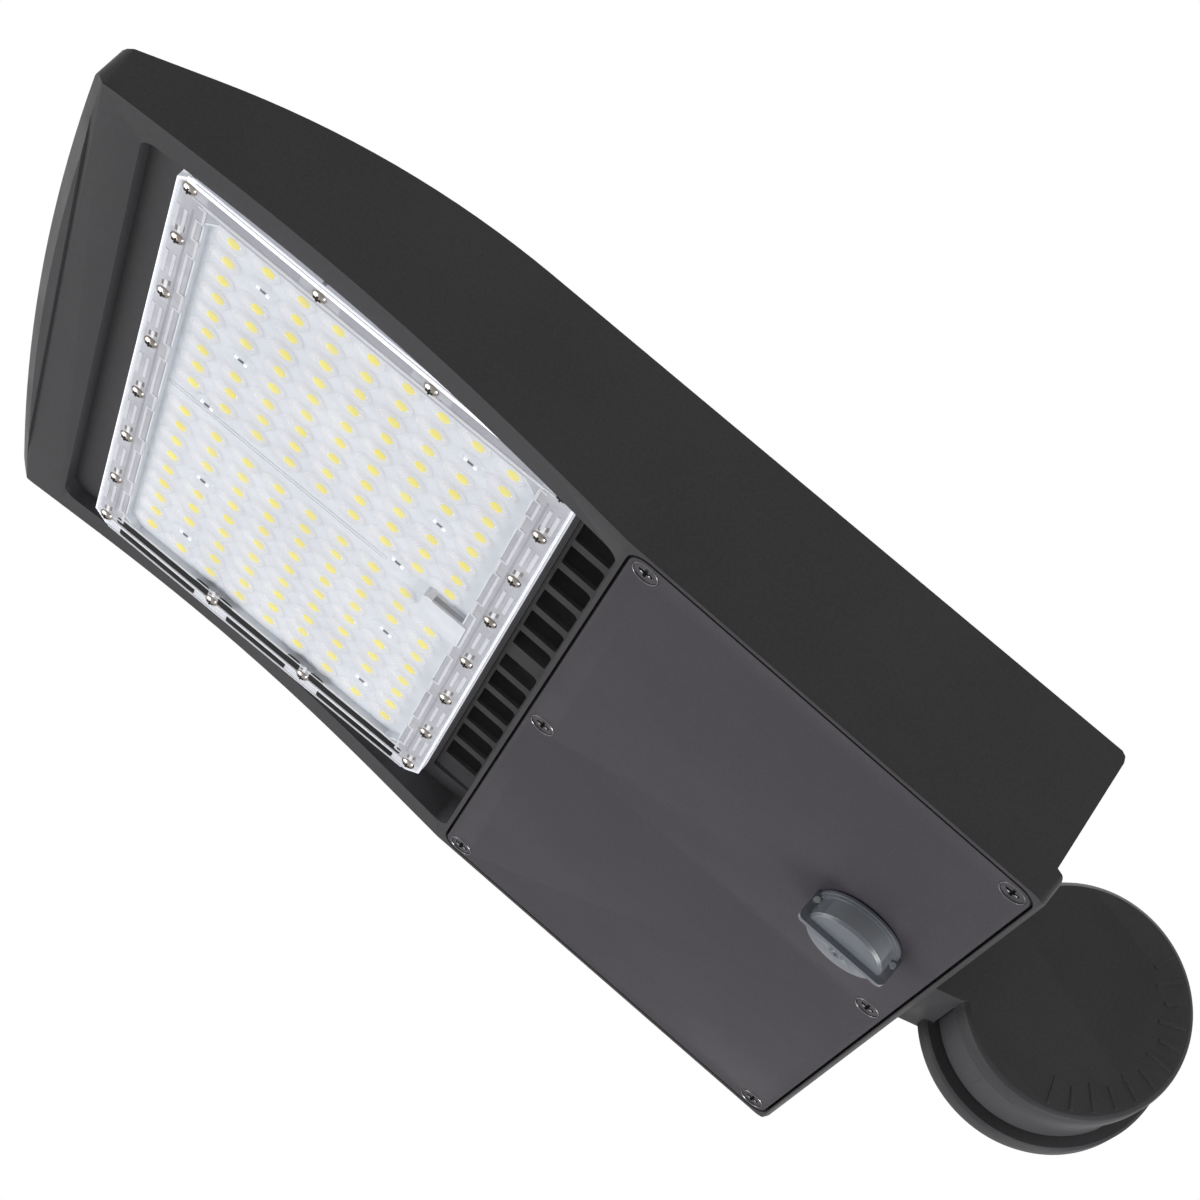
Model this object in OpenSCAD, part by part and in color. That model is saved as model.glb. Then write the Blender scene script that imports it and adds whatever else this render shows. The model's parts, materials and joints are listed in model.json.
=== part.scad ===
// Area light: a flat cast housing with an LED panel, on a tilting knuckle mount.
// Origin: centre of the hub's mounting pad. +Z up, the nose points to -Y.

/* [Housing] */
// Width over the bottom rim
body_w = 330; // [310:1:360]
// Length from the rear skirt to the nose corners
body_len = 415.8; // [410:0.1:425]
// How far the middle of the nose stands forward of its corners
nose_bow = 7.8; // [5:0.1:10]
// Height of the roof line at the rear
rear_h = 65.2; // [62:0.1:72]
// Height of the front face of the nose
nose_h = 16.4; // [15:0.1:20]
// Slope of the roof behind the nose, in degrees
nose_slope = 24.7; // [23:0.1:26]
// Slope of the rear roof, in degrees
roof_slope = 1.4; // [1:0.1:2]
// Radius of the roof's bend
roof_bend_r = 315; // [250:5:350]
// Lean of each side wall, measured over the rear height
side_lean = 5; // [3:0.5:6]
// Lean of the rear wall, measured over the rear height
rear_lean = 4.6; // [3:0.2:5]
// Height of the rear skirt
skirt_h = 12.4; // [10:0.2:14]
// Depth of the step above the rear skirt
skirt_step = 4.6; // [3:0.2:5]
// Rise of the bottom rim beside the LED pocket
rim_rise = 5.7; // [3:0.1:7]
// Depth of the bevel under the nose
nose_bevel = 5.3; // [4:0.1:6]
// Plan radius of the nose corners
nose_corner_r = 9; // [6:1:12]

/* [LED pocket] */
// Width of the pocket
pocket_w = 302; // [298:1:306]
// Front edge of the pocket, forward of the rear skirt
pocket_front = 392.8; // [390:0.2:394]
// Rear edge of the pocket, forward of the rear skirt
pocket_rear = 181.7; // [180.6:0.1:183]
// Corner radius of the pocket
pocket_r = 6; // [4:0.5:8]
// Thickness of the metal behind the boards
skin_t = 3; // [2.5:0.1:4]
// Middle of the LED grid, forward of the rear skirt
optic_mid = 290.6; // [289:0.2:292]
// Height of the boards' front face in the middle of the grid
board_face_z = 9.5; // [8:0.1:10]
// Tilt of the LED plane, in degrees
optic_tilt = 1.59; // [1.2:0.01:1.8]

/* [Vent grille and fins] */
// Height of the grille face
grille_z = 15.2; // [15:0.1:17]
// Front edge of the slots, forward of the rear skirt
slot_front = 200.3; // [198:0.1:201]
// Rear edge of the slots, forward of the rear skirt
slot_rear = 184.4; // [183.5:0.1:186]
// Width of a slot
slot_w = 15.6; // [12:0.1:17]
// Distance from slot to slot, and from fin to fin
fin_pitch = 20.9; // [20:0.1:21.5]
// Width of the two slots beside the middle rib
mid_slot_w = 12.8; // [10:0.1:13]
// Width of the middle rib of the grille
mid_rib_w = 12; // [11:0.1:13]
// Slots on each side beyond the narrow one
side_slots = 5; // [4:1:5]
// Radius of a slot's right rear corner
slot_corner_r = 2.4; // [1:0.1:4]
// Radius of a slot's other corners
slot_edge_r = 0.8; // [0.4:0.1:1]
// Thickness of a fin
fin_t = 3.2; // [2:0.1:5]
// Front end of the fin channels, forward of the rear skirt
fin_front = 382; // [370:1:386]

/* [Driver compartment] */
// Edge of the housing beside the door
door_edge = 3; // [2.6:0.1:8]
// Front edge of the door, forward of the rear skirt
door_front = 178.8; // [178.6:0.1:179.2]
// Rear edge of the door, forward of the rear skirt
door_rear = 2.9; // [2.7:0.1:3.2]
// Corner radius of the door
door_r = 7; // [5:0.5:9]
// Thickness of the door
door_t = 3; // [2.5:0.1:3.5]
// Gap round the door
door_gap = 0.8; // [0.4:0.05:0.9]
// Height of the compartment ceiling
ceiling_z = 57; // [55:0.5:58]
// Ledge that the door's sides sit on
door_ledge = 6.2; // [5.8:0.1:8]
// Front wall of the compartment, forward of the rear skirt
room_front = 173.5; // [172:0.5:175]
// Rear wall of the compartment, forward of the rear skirt
room_rear = 13; // [12.6:0.1:14]
// Door screws in from the door's sides
door_screw_side = 7.2; // [7:0.1:10]
// Door screws in from the door's front and rear edges
door_screw_end = 7.5; // [7.4:0.1:10]
// Radius of the door screws' countersunk heads
door_head_r = 5.2; // [4.6:0.1:5.6]
// Radius of the door screws
door_screw_r = 2; // [1.5:0.1:2.4]
// Width of the door gasket
door_gasket_w = 2.6; // [2:0.1:3]
// Thickness of the door gasket when pressed
door_gasket_t = 1; // [0.8:0.1:1.5]

/* [LED panel] */
// Distance between LEDs, front to back
led_pitch_y = 15.4; // [15:0.1:15.6]
// Distance between LEDs, across
led_pitch_x = 14; // [13.6:0.1:14.1]
// Distance between the two middle rows
led_mid_gap = 25.8; // [24:0.1:26]
// LEDs in a row, front to back
led_rows_y = 9; // [5:2:9]
// LEDs on each side of the middle, across
led_cols_x = 9; // [7:1:9]
// Side length of an LED
led_size = 3; // [2.5:0.1:3.5]
// Height of an LED
led_h = 0.65; // [0.5:0.05:1]
// Thickness of the boards
board_t = 1.6; // [1.2:0.1:2]
// Half width of the boards together
board_half_w = 134; // [132:0.5:136]
// Length of the boards
board_len = 140; // [136:1:142]
// Gap between the two boards
board_gap = 0.6; // [0.4:0.1:1]

/* [Lens] */
// Clearance of the lens plate in its pocket, on each side
lens_play = 1; // [0.6:0.1:1.6]
// Length of the lens plate
lens_len = 173.3; // [171:0.1:175]
// Corner chamfer of the lens plate
lens_chamfer = 6; // [3:0.5:8]
// Height of the lens flange over the boards
lens_flange_h = 4.5; // [4:0.1:5]
// Thickness of the lens plate
lens_t = 2.2; // [1.8:0.1:2.6]
// Height of the recessed field's face over the boards
lens_field_z = 2.6; // [2.6:0.1:3]
// Thickness of the recessed field
lens_field_t = 1.6; // [1.2:0.1:1.6]
// Width of the wall around the recessed field
lens_wall = 1.5; // [1:0.1:2]
// Width of the flat flange beside the recessed field
lens_flange_w = 14.5; // [13:0.5:16]
// Length of the recessed field
field_len = 145; // [142:1:147]
// Radius of an optic
dome_r = 5.4; // [4:0.1:6]
// Height of an optic above the recessed field
dome_h = 1.8; // [1:0.1:2.5]
// Distance between lens screws along the front and rear rows
lens_screw_pitch = 41.5; // [41:0.1:42]
// Distance between the two middle screws of a row
lens_screw_gap = 44; // [41:0.5:46]
// Shift of the rows' inner screws to the right
lens_screw_shift = 2.4; // [0:0.1:3]
// Shift of the corner and side screws to the right
lens_side_shift = 1; // [0:0.1:1.5]
// Half distance between the front and rear rows of lens screws
lens_screw_row = 80.7; // [79:0.1:81]
// Half distance between the side screws, front to back
lens_screw_side = 24.3; // [20:0.1:30]
// Radius of the lens screws' heads
lens_head_r = 3.1; // [2.6:0.1:3.2]
// Radius of the lens screws
lens_screw_r = 1.7; // [1.4:0.1:1.9]

/* [Sensor port] */
// Sensor port to the right of the middle
port_x = 53; // [48:0.5:60]
// Sensor port, forward of the rear skirt
port_y = 35.5; // [33:0.5:60]
// Radius of the cap's flange
flange_r = 18.5; // [18:0.1:19]
// Lower face of the flange, under the door
flange_h = 2.6; // [2:0.1:3]
// Thickness of the seal under the door
seal_t = 0.6; // [0.4:0.1:1]
// Radius of the cap
cap_r = 16.7; // [15.5:0.1:17]
// Lower face of the cap, under the door
cap_h = 11; // [9:0.1:12]
// Length of the grip bar
bar_len = 39.8; // [38:0.1:41]
// Thickness of the grip bar
bar_t = 2.5; // [2:0.1:4]
// Lower edge of the grip bar, under the door
bar_h = 13.3; // [12.5:0.1:15]
// Radius of the socket's mouth
socket_r = 9.3; // [8.5:0.1:9.6]
// Turn of the cap from locked to free, in degrees
cap_turn = 30; // [25:1:35]

/* [Knuckle mount] */
// Pivot behind the rear skirt
pivot_y = 48; // [47.5:0.5:54]
// Height of the pivot above the door
pivot_z = 50.2; // [49:0.1:51]
// Radius of the right cheek, which carries the scale
right_cheek_r = 46.6; // [46.2:0.1:48]
// Radius of the left cheek
left_cheek_r = 50.6; // [50:0.1:51.4]
// Width over both cheeks
knuckle_w = 44; // [42:0.5:46]
// Width of the groove between the cheeks
groove_w = 22; // [21:0.5:23]
// Radius of the hub
hub_r = 45.2; // [44:0.1:45.6]
// Width of the hub
hub_w = 20; // [19:0.1:20.4]
// Pad face from the pivot
pad_offset = 39.5; // [38:0.5:41]
// Radius of the pivot bolt
pivot_r = 6; // [5:0.1:6.5]
// Marks on the scale
scale_marks = 12; // [6:2:12]
// Angle between two marks, in degrees
mark_step = 12.3; // [8:0.1:12.5]
// Turn of the scale's middle below the level, in degrees
mark_turn = 3.5; // [0:0.1:5]
// Half distance between the pad's tapped holes
pad_hole_z = 14; // [13:0.5:15]
// Radius of the pad's tapped holes
pad_hole_r = 4; // [3:0.1:4]
// Radius of the wire passage in the pad
pad_wire_r = 5.5; // [4:0.1:5.8]

/* [Driver and wiring] */
// Length of the driver
driver_len = 160; // [120:1:165]
// Width of the driver
driver_w = 62; // [50:1:64]
// Height of the driver
driver_h = 38; // [30:1:40]
// Radius of the leads
lead_r = 1.1; // [0.8:0.1:1.2]

/* [Hidden] */

eps = 0.01;
fit = 0.05;
slip = 0.3;
cast_col = [0.20, 0.20, 0.21];
door_col = [0.27, 0.25, 0.28];
hub_col = [0.27, 0.26, 0.28];
screw_col = [0.72, 0.72, 0.72];
dark_col = [0.08, 0.08, 0.08];

half_w = body_w / 2;
door_half_w = half_w - door_edge;
room_half_w = door_half_w - door_ledge;
pad_y = pivot_y + pad_offset;
rear_wall_y = -skirt_step;
roof_rear = [-skirt_step - rear_lean, rear_h];
nose_top = [-body_len, nose_h];
roof_k = tan(roof_slope);
nose_k = tan(nose_slope);
// Where the two straight parts of the roof would meet
bend_y = (roof_rear[1] - roof_k * roof_rear[0] - nose_top[1] + nose_k * nose_top[0]) / (nose_k - roof_k);
bend_pt = [bend_y, nose_top[1] + nose_k * (bend_y - nose_top[0])];
bow_r = (half_w * half_w + nose_bow * nose_bow) / (2 * nose_bow);
rim_start = pocket_rear;
rim_end = body_len - nose_bevel;
rim_end_z = 0.3;
bevel_z = 4.5;

floor_h = board_t;
skin_top = floor_h + skin_t;
first_slot = mid_rib_w / 2 + mid_slot_w + (fin_pitch - slot_w) + slot_w / 2;
channel_w = fin_pitch - fin_t;
way_half = mid_rib_w / 2 + 1;
way_z = 26;
way_r = 4.4;
way_y = -226;

seat_z = door_t + door_gasket_t;
gasket_in = 1.2;
boss_r = 6.5;
boss_top = 17;
screw_tip = 11.8;

lens_half_w = pocket_w / 2 - lens_play;
field_half_w = lens_half_w - lens_flange_w;
lens_top = -lens_flange_h;
lens_back = lens_top + lens_t;
side_in = 8.3;
corner_in = 7.8;
side_mid = -0.4;
side_xs = [for (s = [-1, 1]) lens_side_shift + s * (lens_half_w - side_in)];
row_xs = [for (s = [-1, 1]) for (i = [0 : 3]) i == 3 ? lens_side_shift + s * (lens_half_w - corner_in)
    : lens_screw_shift + s * (lens_screw_gap / 2 + lens_screw_pitch * i)];
lens_head_h = 2;
lens_grip = 7;
led_half_rows = (led_rows_y - 1) / 2;
lost_rows = [1, 5];
mid_rivet_x = 4.7;

drum_gap = 0.5;
disc_r = 38;
neck_foot = -9.5;
neck_low = 12.8;
neck_top = 63;
neck_reach = 13.8;
neck_low_out = 18.1;
bolt_x = 15;
bolt_z = 13;
duct_z = 37;
duct_r = 8;
grommet_r = 9.5;
block_y = -21;
bolt_r = 4;
bolt_depth = 9;

driver_x = -90;
driver_y = -158;
driver_z = ceiling_z - driver_h;
lug_len = 9;
lug_t = 3;
lug_inset = 10;
lug_ys = [lug_inset, driver_w - lug_inset];
term = [50, 22, 20];
term_hole = 6;
term_at = [-40, -66, ceiling_z - term[2]];
surge = [60, 40, 28];
surge_at = [31 - room_half_w, -70, ceiling_z - surge[2]];
ground_at = [28, -60];
port = [port_x, -port_y];
lug_r = socket_r + 1.6;
lead_gap = 2 * lead_r + 0.4;
rivet_r = 1.5;
rivet_grip = 2.2;
case_screw_r = 1.8;
case_grip = 3;
term_screw_r = 2.9;
washer_t = 1.6;
socket_wall = 4;
socket_h = 26;
chamber_r = 26;
chamber_half = 6;
window_turn = 78;
pad_hole_depth = 12;
mark_in = 3.6;
mark_short = 9;
mark_long = 11.2;
mark_w = 1.5;
mark_h = 0.6;
grille_in = 12;
over = 80;

// Roof bend: points on the arc that touches both straight parts
function unit(v) = v / norm(v);
function bend_arc(c, d0, d1, r, n) =
    let (turn = acos(d0 * d1), t = r * tan(turn / 2), p = c - d0 * t,
        m = p + r * [d0[1], -d0[0]], a0 = atan2(p[1] - m[1], p[0] - m[0]))
    [for (i = [0 : n]) m + r * [cos(a0 - turn * i / n), sin(a0 - turn * i / n)]];
roof_arc = bend_arc(bend_pt, [cos(nose_slope), sin(nose_slope)],
    [cos(roof_slope), sin(roof_slope)], roof_bend_r, 16);

// Bottom rim: rises and falls as half a sine wave, from the door to the nose bevel
rim_pts = [for (i = [0 : 18]) let (t = i / 18)
    [-rim_start - (rim_end - rim_start) * t, rim_end_z * t + rim_rise * sin(180 * t)]];

// Corner of an outline: quarter turn of radius r about m, from angle a
function quarter(m, r, a, n = 5) = [for (i = [0 : n]) m + r * [cos(a + 90 * i / n), sin(a + 90 * i / n)]];
function round_rect(x0, x1, y0, y1, r) = concat(
    quarter([x1 - r, y1 - r], r, 0), quarter([x0 + r, y1 - r], r, 90),
    quarter([x0 + r, y0 + r], r, 180), quarter([x1 - r, y0 + r], r, 270));
module plate_outline(x, y, c = lens_chamfer)
    polygon([[-x + c, -y], [x - c, -y], [x, -y + c], [x, y - c],
        [x - c, y], [-x + c, y], [-x, y - c], [-x, -y + c]]);

// LED grid: one list of places; row 0 is the nose row, column 0 the outermost on the right
function led_x(c) = (c < led_cols_x ? 1 : -1) *
    (led_mid_gap / 2 + led_pitch_x * (c < led_cols_x ? led_cols_x - 1 - c : c - led_cols_x));
function led_y(r) = (r - led_half_rows) * led_pitch_y;
function side_col(c) = c < led_cols_x ? c : 2 * led_cols_x - 1 - c;
function is_rivet(c, r) = (r == 1 || r == led_rows_y - 2)
    && len([for (q = lost_rows) if (side_col(c) == q) 1]) > 0;
function is_plug(c, r) = c == led_cols_x && r == led_rows_y - 1;
led_cells = [for (c = [0 : 2 * led_cols_x - 1]) for (r = [0 : led_rows_y - 1])
    if (!is_rivet(c, r) && !is_plug(c, r)) [led_x(c), led_y(r)]];
rivet_cells = concat([for (c = [0 : 2 * led_cols_x - 1]) for (r = [0 : led_rows_y - 1])
    if (is_rivet(c, r)) [led_x(c), led_y(r)]],
    [[mid_rivet_x, led_y(0.5)], [mid_rivet_x, led_y(led_rows_y - 2.5)]]);
lens_screw_cells = concat([for (x = row_xs) for (s = [-1, 1]) [x, s * lens_screw_row]],
    [for (x = side_xs) for (s = [-1, 1]) [x, side_mid + s * lens_screw_side]]);
plug_y = led_y(led_rows_y - 1);
plug = [-13.5, 6.5, plug_y - 8.1, plug_y + 13.2];
plug_top = lens_top - 0.7;
plug_wall = 1.2;
plug_seat = field_len / 2 - 0.2;
window_r = 5;
window_h = 0.8;
door_screw_cells = [for (x = [-1, 0, 1]) for (y = [-door_front + door_screw_end, -door_rear - door_screw_end])
    [x * (door_half_w - door_screw_side), y]];

// Leads: a tube along a smooth curve through hand-set points
function curve(a, b, c, d, t) = 0.5 * (2 * b + (c - a) * t + (2 * a - 5 * b + 4 * c - d) * t * t
    + (3 * b - a - 3 * c + d) * t * t * t);
function smooth(p, k) = let (n = len(p) - 1) concat([for (i = [0 : n - 1]) for (j = [0 : k - 1])
    curve(p[max(i - 1, 0)], p[i], p[i + 1], p[min(i + 2, n)], j / k)], [p[n]]);
// Each end stands square to the face that it meets
function main_axis(v) = let (m = max(abs(v[0]), abs(v[1]), abs(v[2])))
    [for (c = v) abs(c) == m ? sign(c) : 0];
function heading(q, i) = i == 0 ? main_axis(q[1] - q[0])
    : i == len(q) - 1 ? main_axis(q[i] - q[i - 1]) : unit(q[i + 1] - q[i - 1]);
function square_to(v, t) = unit(v - (v * t) * t);
function sides(q) = [for (i = 0, v = square_to([0.3, 0.2, 1], heading(q, 0)); i < len(q);
    i = i + 1, v = i < len(q) ? square_to(v, heading(q, i)) : v) v];

// Route of a neighbouring lead: set off by d across the route, at angle a0 that turns to a1 after part f
function beside(p, d, a0, a1, f) = let (n = len(p) - 1) [for (i = [0 : n])
    let (t = max(0, (i / n - f) / (1 - f)), a = a0 + (a1 - a0) * t) p[i] + d * [cos(a), 0, sin(a)]];

module lead(points, r = lead_r, k = 4, n = 8) {
    q = smooth(points, k);
    v = sides(q);
    m = len(q);
    ring = [for (i = [0 : m - 1]) let (t = heading(q, i), w = cross(t, v[i]))
        for (j = [0 : n - 1]) q[i] + r * (cos(360 * j / n) * v[i] + sin(360 * j / n) * w)];
    skin = [for (i = [0 : m - 2]) for (j = [0 : n - 1]) let (a = i * n + j, b = i * n + (j + 1) % n)
        each [[a, b, b + n], [a, b + n, a + n]]];
    ends = [each [for (j = [1 : n - 2]) [0, j + 1, j]],
        each [for (j = [1 : n - 2]) [(m - 1) * n, (m - 1) * n + j, (m - 1) * n + j + 1]]];
    polyhedron(points = ring, faces = [for (f = concat(skin, ends)) [f[0], f[2], f[1]]]);
}

// The fixture is drawn with the rear skirt at y = 0 and the door face at z = 0
module fixture() translate([0, -pad_y, -pivot_z]) children();
// LED plane: z = 0 is the boards' front face, z grows into the housing
module led_plane() fixture() translate([0, -optic_mid, board_face_z]) rotate([optic_tilt, 0, 0]) children();
module pivot_axis() fixture() translate([0, pivot_y, pivot_z]) children();
module along_x() rotate([90, 0, 90]) children();
module block(x0, x1, y0, y1, z0, z1) translate([x0, y0, z0]) cube([x1 - x0, y1 - y0, z1 - z0]);
module rod_x(r, x0, x1) translate([x0, 0, 0]) rotate([0, 90, 0]) cylinder(r = r, h = x1 - x0, $fn = 64);
module rod_y(r, y0, y1) translate([0, y1, 0]) rotate([90, 0, 0]) cylinder(r = r, h = y1 - y0, $fn = 48);

module cross_recess(r, depth) {
    translate([-r, -r * 0.22, -eps]) cube([2 * r, r * 0.44, depth + eps]);
    translate([-r * 0.22, -r, -eps]) cube([r * 0.44, 2 * r, depth + eps]);
}

// Pan-head screw along +Z, seat of the head at z = 0
module pan_screw(head_r, r, head_h, len) {
    difference() {
        union() {
            translate([0, 0, -head_h]) cylinder(r1 = head_r * 0.8, r2 = head_r, h = head_h * 0.5, $fn = 32);
            translate([0, 0, -head_h * 0.5]) cylinder(r = head_r, h = head_h * 0.5, $fn = 32);
            translate([0, 0, -eps]) cylinder(r = r, h = len + eps, $fn = 24);
        }
        translate([0, 0, -head_h]) cross_recess(head_r * 0.55, head_h * 0.6);
    }
}

// Hex-head bolt along +Z, seat of the head at z = 0
module hex_bolt(r, head_h, len) {
    translate([0, 0, -head_h]) cylinder(r = 1.85 * r, h = head_h, $fn = 6);
    translate([0, 0, -eps]) cylinder(r = r, h = len + eps, $fn = 48);
}

module side_profile() polygon(concat(
    [[-1.5, 0], [0, 1.5], [0, skirt_h - 1.4], [-1.4, skirt_h], [rear_wall_y, skirt_h + 1],
     [roof_rear[0] + 0.4, rear_h - 3.4], [roof_rear[0] - 0.6, rear_h - 1.1],
     [roof_rear[0] - 2.6, rear_h - 2.6 * roof_k]],
    [for (i = [len(roof_arc) - 1 : -1 : 0]) roof_arc[i]],
    [[-body_len + 3.4, nose_h + 3.4 * nose_k], [-body_len - nose_bow - 2, nose_h - 2]],
    [[-body_len - nose_bow - 2, -5], [-rim_end - 2, -5], [-rim_end - 2, rim_end_z]],
    [for (i = [len(rim_pts) - 1 : -1 : 0]) rim_pts[i]]));

module plan_outline() {
    a = asin((half_w - nose_corner_r) / (bow_r - nose_corner_r));
    m = [0, -body_len - nose_bow + bow_r];
    bow = [for (i = [-10 : 10]) m + bow_r * [sin(a * i / 10), -cos(a * i / 10)]];
    right = m + (bow_r - nose_corner_r) * [sin(a), -cos(a)];
    polygon(concat(bow,
        [for (i = [1 : 5]) right + nose_corner_r * [sin(a + (90 - a) * i / 5), -cos(a + (90 - a) * i / 5)]],
        quarter([half_w - 5, -5], 5, 0), quarter([-half_w + 5, -5], 5, 90),
        [for (i = [5 : -1 : 1]) [-right[0], right[1]]
            + nose_corner_r * [-sin(a + (90 - a) * i / 5), -cos(a + (90 - a) * i / 5)]]));
}

module outer_body() {
    intersection() {
        translate([-half_w, 0, 0]) along_x() linear_extrude(body_w) side_profile();
        translate([0, 0, -1]) linear_extrude(rear_h + 5) plan_outline();
        translate([0, 1, 0]) rotate([90, 0, 0]) linear_extrude(body_len + nose_bow + 3)
            polygon([[-half_w, -2], [half_w, -2], [half_w, 1.5], [half_w - side_lean, rear_h],
                [-half_w + side_lean, rear_h], [-half_w, 1.5]]);
    }
}

module nose_cutter() translate([0, bow_r - body_len - nose_bow, 0]) rotate([0, 0, 264])
    rotate_extrude(angle = 12, $fn = 360)
    polygon([[bow_r - nose_bevel * 1.6, rim_end_z - 0.6 * (bevel_z - rim_end_z)],
        [bow_r + nose_bevel * 0.6, bevel_z + 0.6 * (bevel_z - rim_end_z)], [bow_r + nose_bevel * 0.6, -6],
        [bow_r - nose_bevel * 1.6, -6]]);

module pocket_cut() {
    led_plane() translate([0, 0, -40]) linear_extrude(40 + floor_h) polygon(round_rect(-pocket_w / 2,
        pocket_w / 2, optic_mid - pocket_front, optic_mid - pocket_rear, pocket_r));
    fixture() block(-pocket_w / 2 + grille_in, pocket_w / 2 - grille_in,
        -slot_front - 1.5, -pocket_rear - 0.5, 5, grille_z);
}

function slot_outline(x0, x1, y0, y1, r, q) = concat(
    quarter([x1 - r, y1 - r], r, 0), quarter([x0 + q, y1 - q], q, 90),
    quarter([x0 + q, y0 + q], q, 180), quarter([x1 - q, y0 + q], q, 270));
module slot(x, w) translate([0, 0, 5]) linear_extrude(way_z + 3)
    polygon(slot_outline(x - w / 2, x + w / 2, -slot_front, -slot_rear, slot_corner_r, slot_edge_r));

module slots() fixture() for (s = [-1, 1]) {
    slot(s * (mid_rib_w + mid_slot_w) / 2, mid_slot_w);
    for (i = [0 : side_slots - 1]) slot(s * (first_slot + i * fin_pitch), slot_w);
}

module channel(x, w) block(x, x + w, optic_mid - fin_front, optic_mid - pocket_rear, skin_top, over);

module channels() led_plane() difference() {
    for (s = [-1, 1]) {
        e = way_half;
        w = first_slot - fin_pitch / 2 - fin_t / 2 - e;
        channel(s > 0 ? e : -e - w, w);
        for (i = [0 : side_slots]) channel(s * (first_slot + i * fin_pitch) - channel_w / 2, channel_w);
    }
    for (s = [-1, 1])
        block(-half_w, half_w, s * lens_screw_row - 5, s * lens_screw_row + 5, 0, skin_top + 6);
    for (s = [-1, 1]) for (t = [-1, 1])
        block(s > 0 ? side_xs[1] - 7 : -half_w, s > 0 ? half_w : side_xs[0] + 7,
            side_mid + t * lens_screw_side - 6, side_mid + t * lens_screw_side + 6, 0, skin_top + 6);
}

module room() fixture() difference() {
    translate([0, 0, seat_z - 1]) linear_extrude(ceiling_z - seat_z + 1)
        polygon(round_rect(-room_half_w, room_half_w, -room_front, -room_rear, 4));
    for (c = door_screw_cells) translate([c[0], c[1], 0]) cylinder(r = boss_r, h = boss_top, $fn = 32);
    block(-26, 26, block_y, 0, 8, ceiling_z + 1);
}

module housing() color(cast_col) difference() {
    fixture() outer_body();
    fixture() nose_cutter();
    pocket_cut();
    slots();
    channels();
    led_plane() block(-way_half + fin_t, way_half - fin_t, optic_mid - fin_front, optic_mid - pocket_rear,
        way_z + way_r, over);
    room();
    fixture() translate([0, 0, -1]) linear_extrude(1 + seat_z) polygon(round_rect(-door_half_w - door_gap,
        door_half_w + door_gap, -door_front - door_gap, -door_rear + door_gap, door_r + door_gap));
    for (c = door_screw_cells) fixture() translate([c[0], c[1], seat_z - eps])
        cylinder(r = door_screw_r + fit, h = screw_tip + 0.5 - seat_z, $fn = 24);
    led_plane() for (c = lens_screw_cells) translate([c[0], c[1], floor_h - eps])
        cylinder(r = lens_screw_r + fit, h = lens_grip + 1, $fn = 24);
    led_plane() for (c = rivet_cells) translate([c[0], c[1], floor_h - eps])
        cylinder(r = rivet_r + fit, h = rivet_grip + 0.2, $fn = 24);
    fixture() translate([0, 0, way_z]) rod_y(way_r, way_y, -room_front + 1);
    fixture() translate([0, way_y, board_face_z + 1])
        cylinder(r = way_r, h = way_z - board_face_z + 1, $fn = 48);
    fixture() block(-knuckle_w / 2 - fit, knuckle_w / 2 + fit, neck_foot, 2, neck_low - fit, neck_top + fit);
    fixture() translate([0, 0, duct_z]) rod_y(grommet_r, block_y - 1, neck_foot + 1);
    for (x = [-bolt_x, bolt_x]) for (z = [-bolt_z, bolt_z]) fixture() translate([x, 0, duct_z + z])
        rod_y(bolt_r + 0.2, block_y - 1, neck_foot + 1);
    for (x = [driver_x - lug_len / 2, driver_x + driver_len + lug_len / 2]) for (y = lug_ys)
        fixture() translate([x, driver_y + y, ceiling_z - 1])
            cylinder(r = case_screw_r + fit, h = 1 + case_grip + 0.4, $fn = 24);
    fixture() translate([ground_at[0], ground_at[1], ceiling_z - 1])
        cylinder(r = case_screw_r + fit, h = 1 + case_grip + 0.4, $fn = 24);
}

// Knuckle
module cheek(r) rotate([0, 90, 0]) rotate_extrude($fn = 96)
    polygon([[0, groove_w / 2], [r - 1.2, groove_w / 2], [r, groove_w / 2 + 1.2], [r, knuckle_w / 2 - 3.2],
        [r - 0.6, knuckle_w / 2 - 1.2], [r - 2.2, knuckle_w / 2], [0, knuckle_w / 2]]);

module neck() translate([-knuckle_w / 2, 0, 0]) along_x() linear_extrude(knuckle_w)
    polygon([[neck_foot, neck_low], [-3, neck_low], [neck_reach, neck_low_out], [pivot_y, pivot_z],
        [neck_reach, 2 * pivot_z - neck_low_out], [-2, neck_top], [neck_foot, neck_top]]);

module tilt_scale() for (i = [0 : scale_marks - 1]) {
    a = (i - (scale_marks - 1) / 2) * mark_step - mark_turn;
    l = i % 2 == 0 ? mark_long : mark_short;
    rotate([a, 0, 0]) block(knuckle_w / 2 - 0.5, knuckle_w / 2 + mark_h, right_cheek_r - mark_in - l,
        right_cheek_r - mark_in, -mark_w / 2, mark_w / 2);
}

module tilt_bracket() color(cast_col) difference() {
    union() {
        fixture() neck();
        pivot_axis() cheek(right_cheek_r);
        pivot_axis() mirror([1, 0, 0]) cheek(left_cheek_r);
        pivot_axis() tilt_scale();
    }
    pivot_axis() rod_x(hub_r + drum_gap, -groove_w / 2, groove_w / 2);
    fixture() block(-groove_w / 2, groove_w / 2, neck_reach, pivot_y + over, -20, pivot_z + over);
    pivot_axis() rod_x(pivot_r + 0.2, -knuckle_w / 2 - 1, -groove_w / 2 + 1);
    pivot_axis() rod_x(pivot_r + fit, groove_w / 2 - 1, knuckle_w / 2 - 2);
    fixture() translate([0, 0, duct_z]) rod_y(duct_r, neck_foot - 1, neck_reach);
    for (x = [-bolt_x, bolt_x]) for (z = [-bolt_z, bolt_z]) fixture() translate([x, 0, duct_z + z])
        rod_y(bolt_r + fit, neck_foot - 1, neck_foot + bolt_depth + 0.5);
}

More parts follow.
